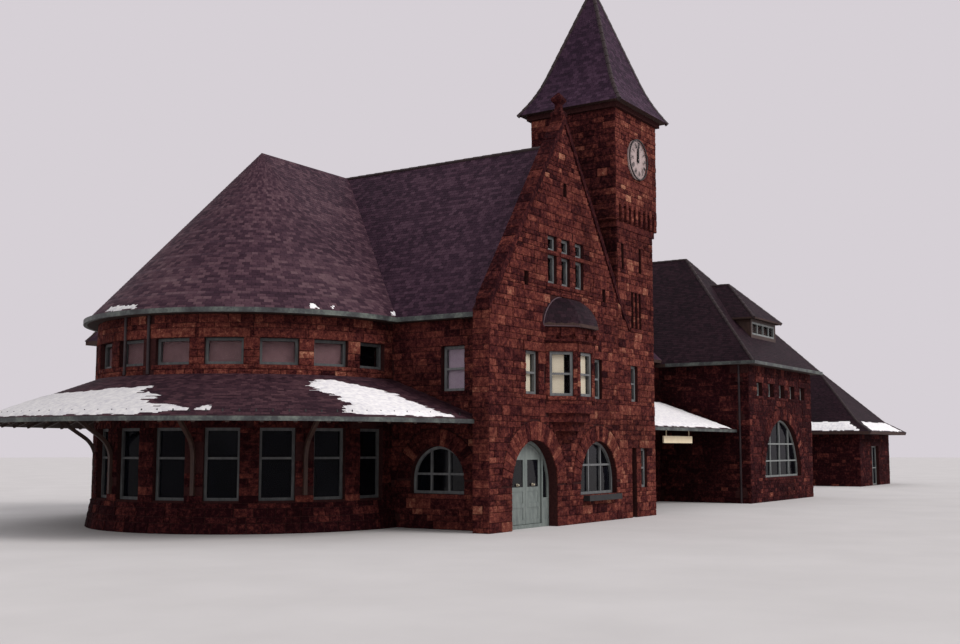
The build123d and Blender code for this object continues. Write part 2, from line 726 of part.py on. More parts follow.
def hand(y, length, width, tail):
    """A clock hand that points to twelve, with a ring round the arbor."""
    with BuildPart() as piece:
        with BuildSketch(front(y)):
            with BuildLine():
                Polyline((tower_x - width / 2, clock_z - tail), (tower_x + width / 2, clock_z - tail),
                         (tower_x + width / 2, clock_z + 0.5 * length), (tower_x, clock_z + length),
                         (tower_x - width / 2, clock_z + 0.5 * length), close=True)
            make_face()
            with Locations((tower_x, clock_z)):
                Circle(hub_r)
                Circle(arbor_r + 0.3, mode=Mode.SUBTRACT)
        extrude(amount=hand_thick)
    return piece.part


hour_hand = hand(dial_y - dial_thick - hand_gap, 0.46 * m, 0.09 * m, 0.10 * m)
minute_hand = hand(dial_y - dial_thick - 2 * hand_gap - hand_thick, 0.68 * m, 0.07 * m, 0.14 * m)
save("hour_hand", hour_hand)
save("minute_hand", minute_hand)

# WAITING ROOM
wait_left = hall_half
pav_form = hipped(pav_left - pav_eave_out, pav_right + pav_eave_out, pav_y - pav_eave_out,
                  2 * axis_y - pav_y + pav_eave_out, pav_top, pav_top + fascia, pav_ridge_z, pav_hip, pav_hip)
wait_bays = [pav_left - wait_end - wait_step * k for k in range(5)]
wait_windows = [(wait_bays[k], 0.98 * m, 3.00 * m, 1.10 * m, False, 0, (2.30 * m,)) for k in (4, 1, 0)]
wait_clerestory = [(pav_left - clear_end - clear_step * k, drum_win_sill, drum_win_head, drum_win_w, False, 0, ())
                   for k in range(4)]
wait_doors = [(wait_bays[k], 0.02 * m, 2.90 * m, 1.50 * m, False, 1, (2.25 * m, 1.0 * m)) for k in (3, 2)]
with BuildPart() as wait_front:
    with BuildSketch(front(wait_y + wall)):
        block(wait_left, pav_left, 0, wall_top)
        for cx, lo, hi, w, *_ in wait_windows + wait_doors + wait_clerestory:
            opening(cx, lo, hi, w)
    extrude(amount=wall)
with BuildPart() as wait_rear:
    add(wait_front.part)
    mirror(about=mirror_y, mode=Mode.REPLACE)
gather("waiting_room_walls", [wait_front.part, wait_rear.part])

wait_pitch = (wait_ridge_z - eave_z) / (axis_y - wait_y + eave_out)
wait_half = axis_y - wait_y
wait_in = wait_half - wall
with BuildPart() as waiting_room_roof:
    with BuildSketch(side(0)):
        with BuildLine():
            y0, y1 = axis_y - wait_half - eave_out, axis_y + wait_half + eave_out
            Polyline((y0, wall_top), (y1, wall_top), (y1, eave_z), (axis_y, wait_ridge_z), (y0, eave_z), close=True)
        make_face()
    extrude(amount=(pav_left + pav_right) / 2)
    with BuildSketch(side(0)):
        with BuildLine():
            z_in = wait_ridge_z - roof_skin - wait_pitch * wait_in
            Polyline((axis_y - wait_in, wall_top - 1), (axis_y + wait_in, wall_top - 1), (axis_y + wait_in, z_in),
                     (axis_y, wait_ridge_z - roof_skin), (axis_y - wait_in, z_in), close=True)
        make_face()
    extrude(amount=(pav_left + pav_right) / 2, mode=Mode.SUBTRACT)
    add(hall_form, mode=Mode.SUBTRACT)
    add(pav_form, mode=Mode.SUBTRACT)
    with BuildSketch():
        block(pav_left, pav_right, pav_y, 2 * axis_y - pav_y)
    extrude(amount=pav_top, mode=Mode.SUBTRACT)
    with BuildSketch():
        block(tower_left, tower_right, front_y, tower_back)
    extrude(amount=2 * ridge_z, mode=Mode.SUBTRACT)
save("waiting_room_roof", waiting_room_roof.part)

with BuildPart() as platform_canopy:
    with BuildSketch(side(tower_left)):
        with BuildLine():
            Polyline((deck_eave_y, deck_eave_z - canopy_drop), (wait_y, canopy_top_z - canopy_drop),
                     (wait_y, canopy_top_z), (deck_eave_y, deck_eave_z), close=True)
        make_face()
    extrude(amount=pav_left - tower_left)
    with BuildSketch():
        block(tower_left, tower_right, front_y, tower_back)
    extrude(amount=2 * ridge_z, mode=Mode.SUBTRACT)
save("platform_canopy", platform_canopy.part)

# PAVILION
pav_x = (pav_left + pav_right) / 2
pav_back = 2 * axis_y - pav_y
pav_arch = (pav_x, pav_arch_sill, pav_arch_head, pav_arch_w, True, 3, (2.78 * m, 1.95 * m))
pav_smalls = [(pav_x + k * pav_small_step, *pav_small, pav_small_w, False, 0, ()) for k in (-2, -1, 0, 1, 2)]
with BuildPart() as pavilion_front_wall:
    with BuildSketch(front(pav_y + wall)):
        block(pav_left, pav_right, 0, pav_top)
        for cx, lo, hi, w, arched, *_ in [pav_arch] + pav_smalls:
            opening(cx, lo, hi, w, arched)
    extrude(amount=wall)
save("pavilion_front_wall", pavilion_front_wall.part)
with BuildPart() as pavilion_back_wall:
    add(pavilion_front_wall.part)
    mirror(about=mirror_y, mode=Mode.REPLACE)
gather("back_walls", [hall_back_wall.part, pavilion_back_wall.part])

pav_side_windows = [(y * m, 1.16 * m, 3.00 * m, 1.10 * m, False, 0, (2.30 * m,)) for y in (2.4, 5.6, 13.2, 16.4)]
with BuildPart() as pav_left_wall:
    with BuildSketch(side(pav_left)):
        block(pav_y + wall, wait_y + wall, 0, pav_top)
        block(wait_back - wall, pav_back - wall, 0, pav_top)
    extrude(amount=wall)
with BuildPart() as pav_right_wall:
    with BuildSketch(side(pav_right - wall)):
        block(pav_y + wall, pav_back - wall, 0, pav_top)
        for cx, lo, hi, w, *_ in pav_side_windows:
            opening(cx, lo, hi, w)
        block(axis_y - link_half + wall, axis_y + link_half - wall, floor_slab, link_door_h, mode=Mode.SUBTRACT)
    extrude(amount=wall)
gather("pavilion_side_walls", [pav_left_wall.part, pav_right_wall.part])

pav_in = (pav_right - pav_left) / 2 - wall
pav_pitch = (pav_ridge_z - pav_top - fascia) / ((pav_right - pav_left) / 2 + pav_eave_out)
pav_in_z = pav_ridge_z - roof_skin - pav_pitch * pav_in
pav_void = hipped(pav_x - pav_in, pav_x + pav_in, pav_y + wall, pav_back - wall, pav_top - 1,
                  pav_in_z, pav_ridge_z - roof_skin, pav_hip * pav_in / (pav_in + wall + pav_eave_out),
                  pav_hip * pav_in / (pav_in + wall + pav_eave_out))
with BuildPart() as pavilion_roof:
    add(pav_form)
    add(pav_void, mode=Mode.SUBTRACT)
    with BuildSketch():
        block(pav_left - 2 * pav_eave_out, pav_left, wait_y, wait_back)
    extrude(amount=wall_top, mode=Mode.SUBTRACT)
save("pavilion_roof", pavilion_roof.part)

front_slope = (pav_ridge_z - pav_top - fascia) / pav_hip
dormer_foot = pav_top + fascia + front_slope * (dormer_y - pav_y + pav_eave_out)
dormer_sill = dormer_foot + dormer_curb
dormer_eave = dormer_sill + dormer_light
dormer_ridge = dormer_eave + dormer_rise
dormer_run = (dormer_ridge - dormer_foot) / front_slope + dormer_room
with BuildPart() as pavilion_dormer:
    with BuildSketch(front(dormer_y + dormer_run)):
        block(pav_x - dormer_w / 2, pav_x + dormer_w / 2, dormer_foot - dormer_curb, dormer_eave)
    extrude(amount=dormer_run)
    with BuildSketch(front(dormer_y + dormer_room)):
        block(pav_x - dormer_w / 2 + dormer_cheek, pav_x + dormer_w / 2 - dormer_cheek,
              dormer_sill, dormer_eave - dormer_head)
    extrude(amount=dormer_room, mode=Mode.SUBTRACT)
    add(pav_form, mode=Mode.SUBTRACT)
save("pavilion_dormer", pavilion_dormer.part)
dormer_block = hipped(pav_x - dormer_w / 2 - dormer_out, pav_x + dormer_w / 2 + dormer_out, dormer_y - dormer_out,
                      dormer_y + dormer_run, dormer_eave, dormer_eave + dormer_fascia, dormer_ridge,
                      dormer_w / 2 + dormer_out, 0)
with BuildPart() as dormer_roof:
    add(dormer_block)
    add(pav_form, mode=Mode.SUBTRACT)
save("dormer_roof", dormer_roof.part)

# BAGGAGE HOUSE
bag_back = 2 * axis_y - bag_y
bag_x = (bag_left + bag_right) / 2
with BuildPart() as baggage_walls:
    with BuildSketch():
        block(bag_left, bag_right, bag_y, bag_back)
    extrude(amount=bag_top)
    with BuildSketch():
        block(bag_left + wall, bag_right - wall, bag_y + wall, bag_back - wall)
    extrude(amount=bag_top, mode=Mode.SUBTRACT)
    for y in (bag_y, bag_back - wall):
        with BuildSketch(front(y + wall)):
            opening(bag_x, 0.02 * m, bag_door_h, bag_door_w, mode=Mode.ADD)
        extrude(amount=wall, mode=Mode.SUBTRACT)
    with BuildSketch(side(bag_left)):
        block(axis_y - link_half + wall, axis_y + link_half - wall, floor_slab, link_door_h)
    extrude(amount=wall, mode=Mode.SUBTRACT)
save("baggage_walls", baggage_walls.part)


def bag_roof_form(shrink, drop):
    """Hipped roof with a flatter skirt at its foot."""
    hw, hd = (bag_right - bag_left) / 2 + bag_out - shrink, (bag_back - bag_y) / 2 + bag_out - shrink
    rows = ((0, bag_top - drop), (0, bag_top + 0.18 * m - drop * 0.5), (bag_band - shrink * 0.2, bag_band_z - drop))
    with BuildPart() as form:
        for inset, z in rows:
            with BuildSketch(Plane.XY.offset(z)):
                with Locations((bag_x, axis_y)):
                    Rectangle(2 * (hw - inset), 2 * (hd - inset))
        with BuildSketch(Plane.XY.offset(bag_ridge_z - drop)):
            with Locations((bag_x, axis_y)):
                Rectangle(0.06 * m, 2 * (hd - hw) + 0.06 * m)
        loft(ruled=True)
    return form.part


bag_form = bag_roof_form(0, 0)
with BuildPart() as baggage_roof:
    add(bag_form)
    bag_in = (bag_right - bag_left) / 2 - wall
    bag_in_y = (bag_back - bag_y) / 2 - wall
    with BuildSketch(Plane.XY.offset(bag_top)):
        with Locations((bag_x, axis_y)):
            Rectangle(2 * bag_in, 2 * bag_in_y)
    with BuildSketch(Plane.XY.offset(bag_band_z)):
        with Locations((bag_x, axis_y)):
            Rectangle(2 * bag_in, 2 * bag_in_y)
    with BuildSketch(Plane.XY.offset(bag_ridge_z - roof_skin)):
        with Locations((bag_x, axis_y)):
            Rectangle(0.06 * m, 2 * (bag_in_y - bag_in) + 0.06 * m)
    loft(ruled=True, mode=Mode.SUBTRACT)
save("baggage_roof", baggage_roof.part)

# PASSAGE between pavilion and baggage house
link_win = (1.00 * m, 2.30 * m, 1.20 * m)
link_step = (bag_left - pav_right) / 3
link_windows = [(pav_right + (k + 0.5) * link_step, *link_win) for k in range(3)]
with BuildPart() as link_front:
    with BuildSketch(front(axis_y - link_half + wall)):
        block(pav_right, bag_left, 0, link_top)
        for cx, lo, hi, w in link_windows:
            opening(cx, lo, hi, w)
    extrude(amount=wall)
with BuildPart() as link_rear:
    add(link_front.part)
    mirror(about=mirror_y, mode=Mode.REPLACE)
gather("passage_walls", [link_front.part, link_rear.part])
with BuildPart() as passage_roof:
    with BuildSketch(side(pav_right)):
        with BuildLine():
            o = link_half + 0.25 * m
            Polyline((axis_y - o, link_top), (axis_y - o, link_top + 0.1 * m), (axis_y, link_ridge),
                     (axis_y + o, link_top + 0.1 * m), (axis_y + o, link_top), (axis_y + link_half - wall, link_top),
                     (axis_y, link_ridge - 0.45 * m), (axis_y - link_half + wall, link_top), close=True)
        make_face()
    extrude(amount=bag_left - pav_right)
    add(bag_form, mode=Mode.SUBTRACT)
save("passage_roof", passage_roof.part)

# FLOORS
with BuildPart() as ground_floors:
    with BuildSketch():
        block(-inner_x, inner_x, side_y0, hall_back - wall)
        block(door_x - door_arch_r - rebate, door_x + door_arch_r + rebate, hinge_y, side_y0)
        with Locations((rot_x, axis_y)):
            Circle(rot_r - wall)
        block(rot_x, 0, axis_y - rot_r + wall, axis_y + rot_r - wall)
        block(0, pav_left, wait_y + wall, wait_back - wall)
        block(-hall_half, -inner_x, side_y0, wing_front + wall, mode=Mode.SUBTRACT)
        block(-hall_half, -inner_x, 2 * axis_y - wing_front - wall, hall_back, mode=Mode.SUBTRACT)
        block(pav_left, pav_left + wall, wait_y + wall, wait_back - wall)
        block(pav_left + wall, pav_right - wall, pav_y + wall, pav_back - wall)
    extrude(amount=floor_slab)
with BuildPart() as tower_floor:
    with BuildSketch():
        block(tower_left + wall, tower_right - wall, side_y0, tower_back - wall)
    extrude(amount=floor_slab)
with BuildPart() as bag_floor:
    with BuildSketch():
        block(bag_left + wall, bag_right - wall, bag_y + wall, bag_back - wall)
    extrude(amount=floor_slab)
with BuildPart() as link_floor:
    with BuildSketch():
        block(pav_right, bag_left, axis_y - link_half + wall, axis_y + link_half - wall)
    extrude(amount=floor_slab)
gather("ground_floors", [ground_floors.part, tower_floor.part, bag_floor.part, link_floor.part])

with BuildPart() as upper_hall:
    with BuildSketch(Plane.XY.offset(upper_floor_z - floor_depth)):
        block(-inner_x, inner_x, side_y0, hall_back - wall)
    extrude(amount=floor_depth)
with BuildPart() as upper_tower:
    with BuildSketch(Plane.XY.offset(upper_floor_z - floor_depth)):
        block(tower_left + wall, tower_right - wall, front_y + wall, tower_back - wall)
    extrude(amount=floor_depth)
    with BuildSketch(Plane.XY.offset(wall_top - floor_depth)):
        block(tower_left + wall, tower_right - wall, front_y + wall, tower_back - wall)
    extrude(amount=floor_depth)
with BuildPart() as pavilion_loft:
    with BuildSketch(Plane.XY.offset(pav_loft_z - floor_depth)):
        block(pav_left + wall, pav_right - wall, pav_y + wall, pav_back - wall)
    extrude(amount=floor_depth)

with BuildPart() as attic_floor:
    with BuildSketch(Plane.XY.offset(wall_top - floor_depth)):
        block(-inner_x, inner_x, side_y0, hall_back - wall)
    extrude(amount=floor_depth)
gather("upper_floors", [upper_hall.part, upper_tower.part, pavilion_loft.part, attic_floor.part])

# GUTTERS
with BuildPart() as rot_gutter:
    with BuildSketch(ray(90)):
        block(rot_eave_r, rot_eave_r + gutter_w, wall_top, eave_z)
    revolve(axis=rot_axis, revolution_arc=180)
    for s in (-1, 1):
        with BuildSketch(side(rot_x)):
            a, b = sorted((axis_y + s * rot_eave_r, axis_y + s * (rot_eave_r + gutter_w)))
            block(a, b, wall_top, eave_z)
        extrude(amount=-hall_half - eave_out - rot_x)
with BuildPart() as hall_gutter:
    with BuildSketch(Plane.XY.offset(wall_top)):
        block(-hall_half - eave_out - gutter_w, -hall_half - eave_out, side_y0, axis_y - rot_eave_r - gutter_w)
    extrude(amount=fascia)
with BuildPart() as pav_gutter:
    with BuildSketch(Plane.XY.offset(pav_top)):
        g0, g1 = pav_left - pav_eave_out, pav_right + pav_eave_out
        h0, h1 = pav_y - pav_eave_out, pav_back + pav_eave_out
        block(g0 - gutter_w, g1 + gutter_w, h0 - gutter_w, h1 + gutter_w)
        block(g0, g1, h0, h1, mode=Mode.SUBTRACT)
        block(g0 - 2 * gutter_w, g0, axis_y - wait_half - 2 * eave_out, axis_y + wait_half + 2 * eave_out,
              mode=Mode.SUBTRACT)
    extrude(amount=fascia)
gather("eave_gutters", [rot_gutter.part, hall_gutter.part, pav_gutter.part])

gz = canopy_eave_z
with BuildPart() as canopy_gutter:
    with BuildSketch(ray(90)):
        block(canopy_r, canopy_r + gutter_w, gz - canopy_drop, gz - 0.01 * m)
    revolve(axis=rot_axis, revolution_arc=180)
    for s in (-1, 1):
        with BuildSketch(side(rot_x)):
            a, b = sorted((axis_y + s * canopy_r, axis_y + s * (canopy_r + gutter_w)))
            block(a, b, gz - canopy_drop, gz - 0.01 * m)
        extrude(amount=-hall_half - rot_x)
    with BuildSketch():
        block(-gable_half, gable_half, front_y, side_y0)
    extrude(amount=wall_top, mode=Mode.SUBTRACT)
with BuildPart() as deck_gutter:
    with BuildSketch(side(tower_right)):
        block(deck_eave_y - gutter_w, deck_eave_y, deck_eave_z - canopy_drop, deck_eave_z - 0.01 * m)
    extrude(amount=pav_left - tower_right)
gather("canopy_gutters", [canopy_gutter.part, deck_gutter.part])

pipe_r = 0.05 * m
pipes = []
for a in (rot_last - 4.5 * rot_step, 90 + (270 - rot_last) + 4.5 * rot_step):
    p = radians(a)
    with BuildPart() as pipe:
        z_low = canopy_top_z + 0.02 * m
        with BuildSketch(Plane((rot_x + (rot_r + pipe_r) * cos(p), axis_y + (rot_r + pipe_r) * sin(p), z_low))):
            Circle(pipe_r)
        extrude(amount=wall_top - z_low)
    pipes.append(pipe.part)
with BuildPart() as pav_pipe:
    with BuildSketch(Plane((pav_left - pipe_r, pav_y + 0.45 * m, 0))):
        Circle(pipe_r)
    extrude(amount=pav_top)
gather("downpipes", pipes + [pav_pipe.part])

# WINDOW FRAMES AND GLASS
frames, panes = [], []
for spec in gable_windows + tower_windows:
    f, g = window(front(front_y + reveal), -1, *spec)
    frames.append(f)
    panes.append(g)
for spec in [(*s, False, 0, ()) for s in slits + tower_slits] + [arch_window]:
    f, g = window(front(front_y + arch_reveal), -1, *spec)
    frames.append(f)
    panes.append(g)
for spec in side_windows + [lunette]:
    f, g = window(side(-hall_half + side_reveal), 1, *spec)
    frames.append(f)
    panes.append(g)
    f, g = window(side(-hall_half + side_reveal), 1, 2 * axis_y - spec[0], *spec[1:])
    frames.append(f)
    panes.append(g)
for spec in side_windows:
    f, g = window(side(hall_half - side_reveal), -1, 2 * axis_y - spec[0], *spec[1:])
    frames.append(f)
    panes.append(g)
f, g = window(side(tower_right - side_reveal), -1, (front_y + tower_back) / 2, 4.32 * m, 5.66 * m, 0.56 * m)
frames.append(f)
panes.append(g)
for spec in back_windows:
    f, g = window(front(hall_back - side_reveal), 1, *spec)
    frames.append(f)
    panes.append(g)
f, g = window(front(front_y - oriel_depth + oriel_reveal), -1, 0, oriel_sill, oriel_head, oriel_win_w, False, 0,
              ((oriel_sill + oriel_head) / 2,))
frames.append(f)
panes.append(g)
for s in (-1, 1):
    mid = (s * (oriel_front + oriel_depth) / 2, front_y - oriel_depth / 2, 0)
    cheek = Plane(mid, x_dir=(sqrt(0.5), s * sqrt(0.5), 0), z_dir=(s * sqrt(0.5), -sqrt(0.5), 0))
    f, g = window(cheek.offset(-oriel_reveal), -1, 0, oriel_sill, oriel_head, oriel_win_w, False, 0,
                  ((oriel_sill + oriel_head) / 2,))
    frames.append(f)
    panes.append(g)
gather("hall_window_frames", frames)
hall_panes = panes

frames, panes = [], []
for a in rot_windows:
    f, g = window(radial(a, rot_r - side_reveal), -1, 0, low_win_sill, low_win_head, low_win_w, False, 0,
                  (low_win_rail,))
    frames.append(f)
    panes.append(g)
    f, g = window(radial(a, rot_r - side_reveal), -1, 0, drum_win_sill, drum_win_head, drum_win_w)
    frames.append(f)
    panes.append(g)
gather("rotunda_window_frames", frames)
gather("rotunda_glass", panes)

frames, panes = [], []
for spec in wait_windows + wait_doors + wait_clerestory:
    f, g = window(front(wait_y + side_reveal), -1, *spec)
    frames.append(f)
    panes.append(g)
    f, g = window(front(wait_back - side_reveal), 1, *spec)
    frames.append(f)
    panes.append(g)
for spec in [pav_arch] + pav_smalls:
    f, g = window(front(pav_y + side_reveal), -1, *spec)
    frames.append(f)
    panes.append(g)
    f, g = window(front(pav_back - side_reveal), 1, *spec)
    frames.append(f)
    panes.append(g)
for spec in pav_side_windows:
    f, g = window(side(pav_right - side_reveal), -1, *spec)
    frames.append(f)
    panes.append(g)
f, g = window(front(dormer_y + dormer_reveal), -1, pav_x, dormer_sill, dormer_eave - dormer_head,
              dormer_w - 2 * dormer_cheek, False, 3, ())
frames.append(f)
panes.append(g)
for y in (bag_y + side_reveal, bag_back - side_reveal):
    f, g = window(front(y), -1 if y < axis_y else 1, bag_x, 0.02 * m, bag_door_h, bag_door_w, False, 1,
                  (1.2 * m,))
    frames.append(f)
    panes.append(g)
for cx, lo, hi, w in link_windows:
    f, g = window(front(axis_y - link_half + side_reveal), -1, cx, lo, hi, w)
    frames.append(f)
    panes.append(g)
    f, g = window(front(axis_y + link_half - side_reveal), 1, cx, lo, hi, w)
    frames.append(f)
    panes.append(g)
gather("east_window_frames", frames)
gather("east_glass", panes)

# ENTRANCE: frame in the rebate, two leaves that open inwards
seat_gap = 0.3
frame_r = door_arch_r + rebate - seat_gap
opening_r = door_arch_r - 0.10 * m
hinge_x = door_arch_r - frame_bar - sidelight - post_bar  # from the door's middle


with BuildPart() as entrance_frame:
    with BuildSketch(front(frame_y + door_frame_depth)):
        opening(door_x, 0, door_spring + frame_r, 2 * frame_r, True, mode=Mode.ADD)
        with BuildSketch(mode=Mode.SUBTRACT):
            opening(door_x, 0, door_spring + opening_r, 2 * opening_r, True, mode=Mode.ADD)
        for s in (-1, 1):
            x = door_x + s * (hinge_x + post_bar / 2)
            block(x - post_bar / 2, x + post_bar / 2, 0, door_spring + sqrt(opening_r**2 - hinge_x**2) + 0.03 * m)
            a, b = sorted((door_x + s * (hinge_x + post_bar / 2), door_x + s * (door_arch_r + 0.02 * m)))
            block(a, b, 0, side_panel_z)
        block(door_x - hinge_x, door_x + hinge_x, 0, floor_slab)
    extrude(amount=door_frame_depth)
save("entrance_frame", entrance_frame.part)

side_panes = []
for s in (-1, 1):
    inner_edge = hinge_x + post_bar
    with BuildPart() as sl:
        with BuildSketch(front(frame_y + 0.07 * m)):
            opening(door_x, 0, door_spring + opening_r, 2 * opening_r, True, mode=Mode.ADD)
            with BuildSketch(mode=Mode.INTERSECT):
                a, b = sorted((door_x + s * inner_edge, door_x + s * opening_r))
                block(a, b, side_panel_z, door_spring + opening_r)
        extrude(amount=glass_thick)
    side_panes.append(sl.part)
gather("hall_glass", hall_panes + side_panes)


def door_leaf(s):
    """One leaf, its head cut to the arch, with a glazed upper panel; s is -1 for the left leaf."""
    inner, outer = leaf_gap / 2, hinge_x - hinge_gap
    y_in = hinge_y
    a, b = sorted((door_x + s * inner, door_x + s * outer))
    pa, pb = a + stile, b - stile
    head_r = opening_r - leaf_gap
    with BuildPart() as leaf:
        with BuildSketch(front(y_in)):
            opening(door_x, leaf_sill, door_spring + head_r, 2 * head_r, True, mode=Mode.ADD)
            with BuildSketch(mode=Mode.INTERSECT):
                block(a, b, leaf_sill, door_spring + head_r)
            block(pa, pb, glass_low, glass_high, mode=Mode.SUBTRACT)
        extrude(amount=leaf_thick)
        with BuildSketch(front(y_in - leaf_thick + panel_sunk)):
            block(pa, pb, *low_panel)
            block(pa, pb, *mid_panel)
        extrude(amount=panel_sunk, mode=Mode.SUBTRACT)
    with BuildPart() as pane:
        with BuildSketch(front(y_in - 0.02 * m)):
            block(pa, pb, glass_low, glass_high)
        extrude(amount=glass_thick)
    return leaf.part, pane.part


leaf_left, pane_left = door_leaf(-1)
leaf_right, pane_right = door_leaf(1)
save("entrance_leaf_left", leaf_left)
save("entrance_leaf_right", leaf_right)
save("leaf_glass_left", pane_left)
save("leaf_glass_right", pane_right)

# bare board hung under the platform canopy
board_x = 12.15 * m
board_w = 3.00 * m
board_h = 0.30 * m
board_thick = 0.06 * m
board_rod = 0.03 * m
board_back = 0.35 * m
board_drop = 0.36 * m
board_y = deck_eave_y + board_back
board_top = deck_eave_z - board_drop
with BuildPart() as name_board:
    with BuildSketch(front(board_y + board_thick / 2)):
        with Locations((board_x, board_top - board_h / 2)):
            Rectangle(board_w, board_h)
    extrude(amount=board_thick)
    with BuildSketch(Plane.XY.offset(board_top)):
        with Locations((board_x, board_y)):
            with GridLocations(board_w * 0.8, 1, 2, 1):
                Rectangle(board_rod, board_rod)
    slope = (canopy_top_z - deck_eave_z) / (wait_y - deck_eave_y)
    extrude(amount=deck_eave_z + slope * (board_y - deck_eave_y) - board_top)
    add(platform_canopy.part, mode=Mode.SUBTRACT)
save("name_board", name_board.part)

print("hinges", [round(v / 1000, 5) for v in (door_x - hinge_x + hinge_gap, hinge_y, door_x + hinge_x - hinge_gap)])
print("clock", round(tower_x / 1000, 5), round(dial_y / 1000, 5), round(clock_z / 1000, 5))
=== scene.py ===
# %% [markdown]
# # A sandstone railway station
# The frame holds the building's walls, roofs, frames and doors as plain solids. This lesson dresses
# them: rough stones on the walls, slates on the roofs, copper, paint, glass, blinds, snow and a clock
# face. Nothing of the frame is moved; every new piece is laid on the solid that carries it.

# %% Load the frame
import json
import random
from math import atan2, cos, hypot, pi, radians, sin, sqrt, tau

import bmesh
import bpy
from mathutils import Matrix, Vector, noise
from mathutils.bvhtree import BVHTree


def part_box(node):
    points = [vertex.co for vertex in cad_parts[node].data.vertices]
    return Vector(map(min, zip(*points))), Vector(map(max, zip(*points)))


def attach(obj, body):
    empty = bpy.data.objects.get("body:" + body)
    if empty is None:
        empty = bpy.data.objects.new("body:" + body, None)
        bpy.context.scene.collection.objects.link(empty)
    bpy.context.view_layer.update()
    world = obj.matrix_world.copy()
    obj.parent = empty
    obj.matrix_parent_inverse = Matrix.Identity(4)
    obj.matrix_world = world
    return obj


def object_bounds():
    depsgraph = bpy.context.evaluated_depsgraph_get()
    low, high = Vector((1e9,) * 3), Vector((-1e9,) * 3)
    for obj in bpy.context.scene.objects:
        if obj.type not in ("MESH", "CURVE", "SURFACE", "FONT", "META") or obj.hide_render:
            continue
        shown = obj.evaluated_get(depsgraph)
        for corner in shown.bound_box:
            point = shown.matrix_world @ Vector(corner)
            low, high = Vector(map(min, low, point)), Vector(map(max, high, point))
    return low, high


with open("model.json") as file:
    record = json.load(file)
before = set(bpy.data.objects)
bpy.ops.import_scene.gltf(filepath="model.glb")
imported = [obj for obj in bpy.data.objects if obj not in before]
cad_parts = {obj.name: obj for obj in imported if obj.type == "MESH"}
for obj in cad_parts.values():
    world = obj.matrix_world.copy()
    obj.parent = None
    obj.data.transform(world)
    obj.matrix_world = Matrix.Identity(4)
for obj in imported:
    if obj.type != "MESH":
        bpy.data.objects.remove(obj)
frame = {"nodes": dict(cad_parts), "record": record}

cad_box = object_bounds()
nodes = frame["nodes"]
real = 0.5  # one metre of the real building, in metres of the half-size model
print("nodes", len(nodes), "box", [round(v, 2) for v in (*cad_box[0], *cad_box[1])])

# %% [markdown]
# The camera stands where the photograph was taken from: in front of the round wing, a little above the
# ground, looking along the row of buildings. Its place and angles were solved from straight edges.

# %% Camera
eye = Vector((-17.3835, -9.8015, 1.294))
yaw, pitch = radians(56.751), radians(6.165)
camera = bpy.data.objects.new("camera", bpy.data.cameras.new("camera"))
bpy.context.scene.collection.objects.link(camera)
camera.data.lens = 43.67
camera.data.clip_end = 400
camera.location = eye
look = Vector((sin(yaw) * cos(pitch), cos(yaw) * cos(pitch), sin(pitch)))
camera.rotation_euler = look.to_track_quat("-Z", "Y").to_euler()
bpy.context.scene.camera = camera
bpy.context.scene.view_settings.view_transform = "Standard"

# %% [markdown]
# Shader maths reads best as plain formulas. A small class wraps a socket, so that `a * b + 1` adds the
# Math nodes; a colour is made darker by a vector node, because a Math node turns it grey.


# %% A socket that can be calculated with
class Value:
    """One output socket of a material's node tree, with Python's operators."""

    def __init__(self, paint, socket):
        self.paint, self.socket = paint, socket

    def math(self, operation, *others):
        return self.paint.node("Math", dict(operation=operation), dict(enumerate((self, *others))))

    def __add__(self, other):
        return self.math("ADD", other)

    def __mul__(self, other):
        return self.math("MULTIPLY", other)

    def __sub__(self, other):
        return self.math("SUBTRACT", other)

    def __truediv__(self, other):
        return self.math("DIVIDE", other)

    def __rsub__(self, other):
        return self * -1 + other

    __radd__, __rmul__ = __add__, __mul__

    def step(self, low, high):
        """0 below low, 1 above high, smooth between; low may be the larger."""
        return self.paint.node("MapRange", dict(interpolation_type="SMOOTHSTEP"),
                               {"Value": self, "From Min": low, "From Max": high})

    def ramp(self, *stops):
        """A colour for each value: stops are (place, screen colour)."""
        stops = [(at, linear(*rgb)) for at, rgb in stops]
        return self.paint.node("ValToRGB", dict(stops=stops), {"Fac": self})


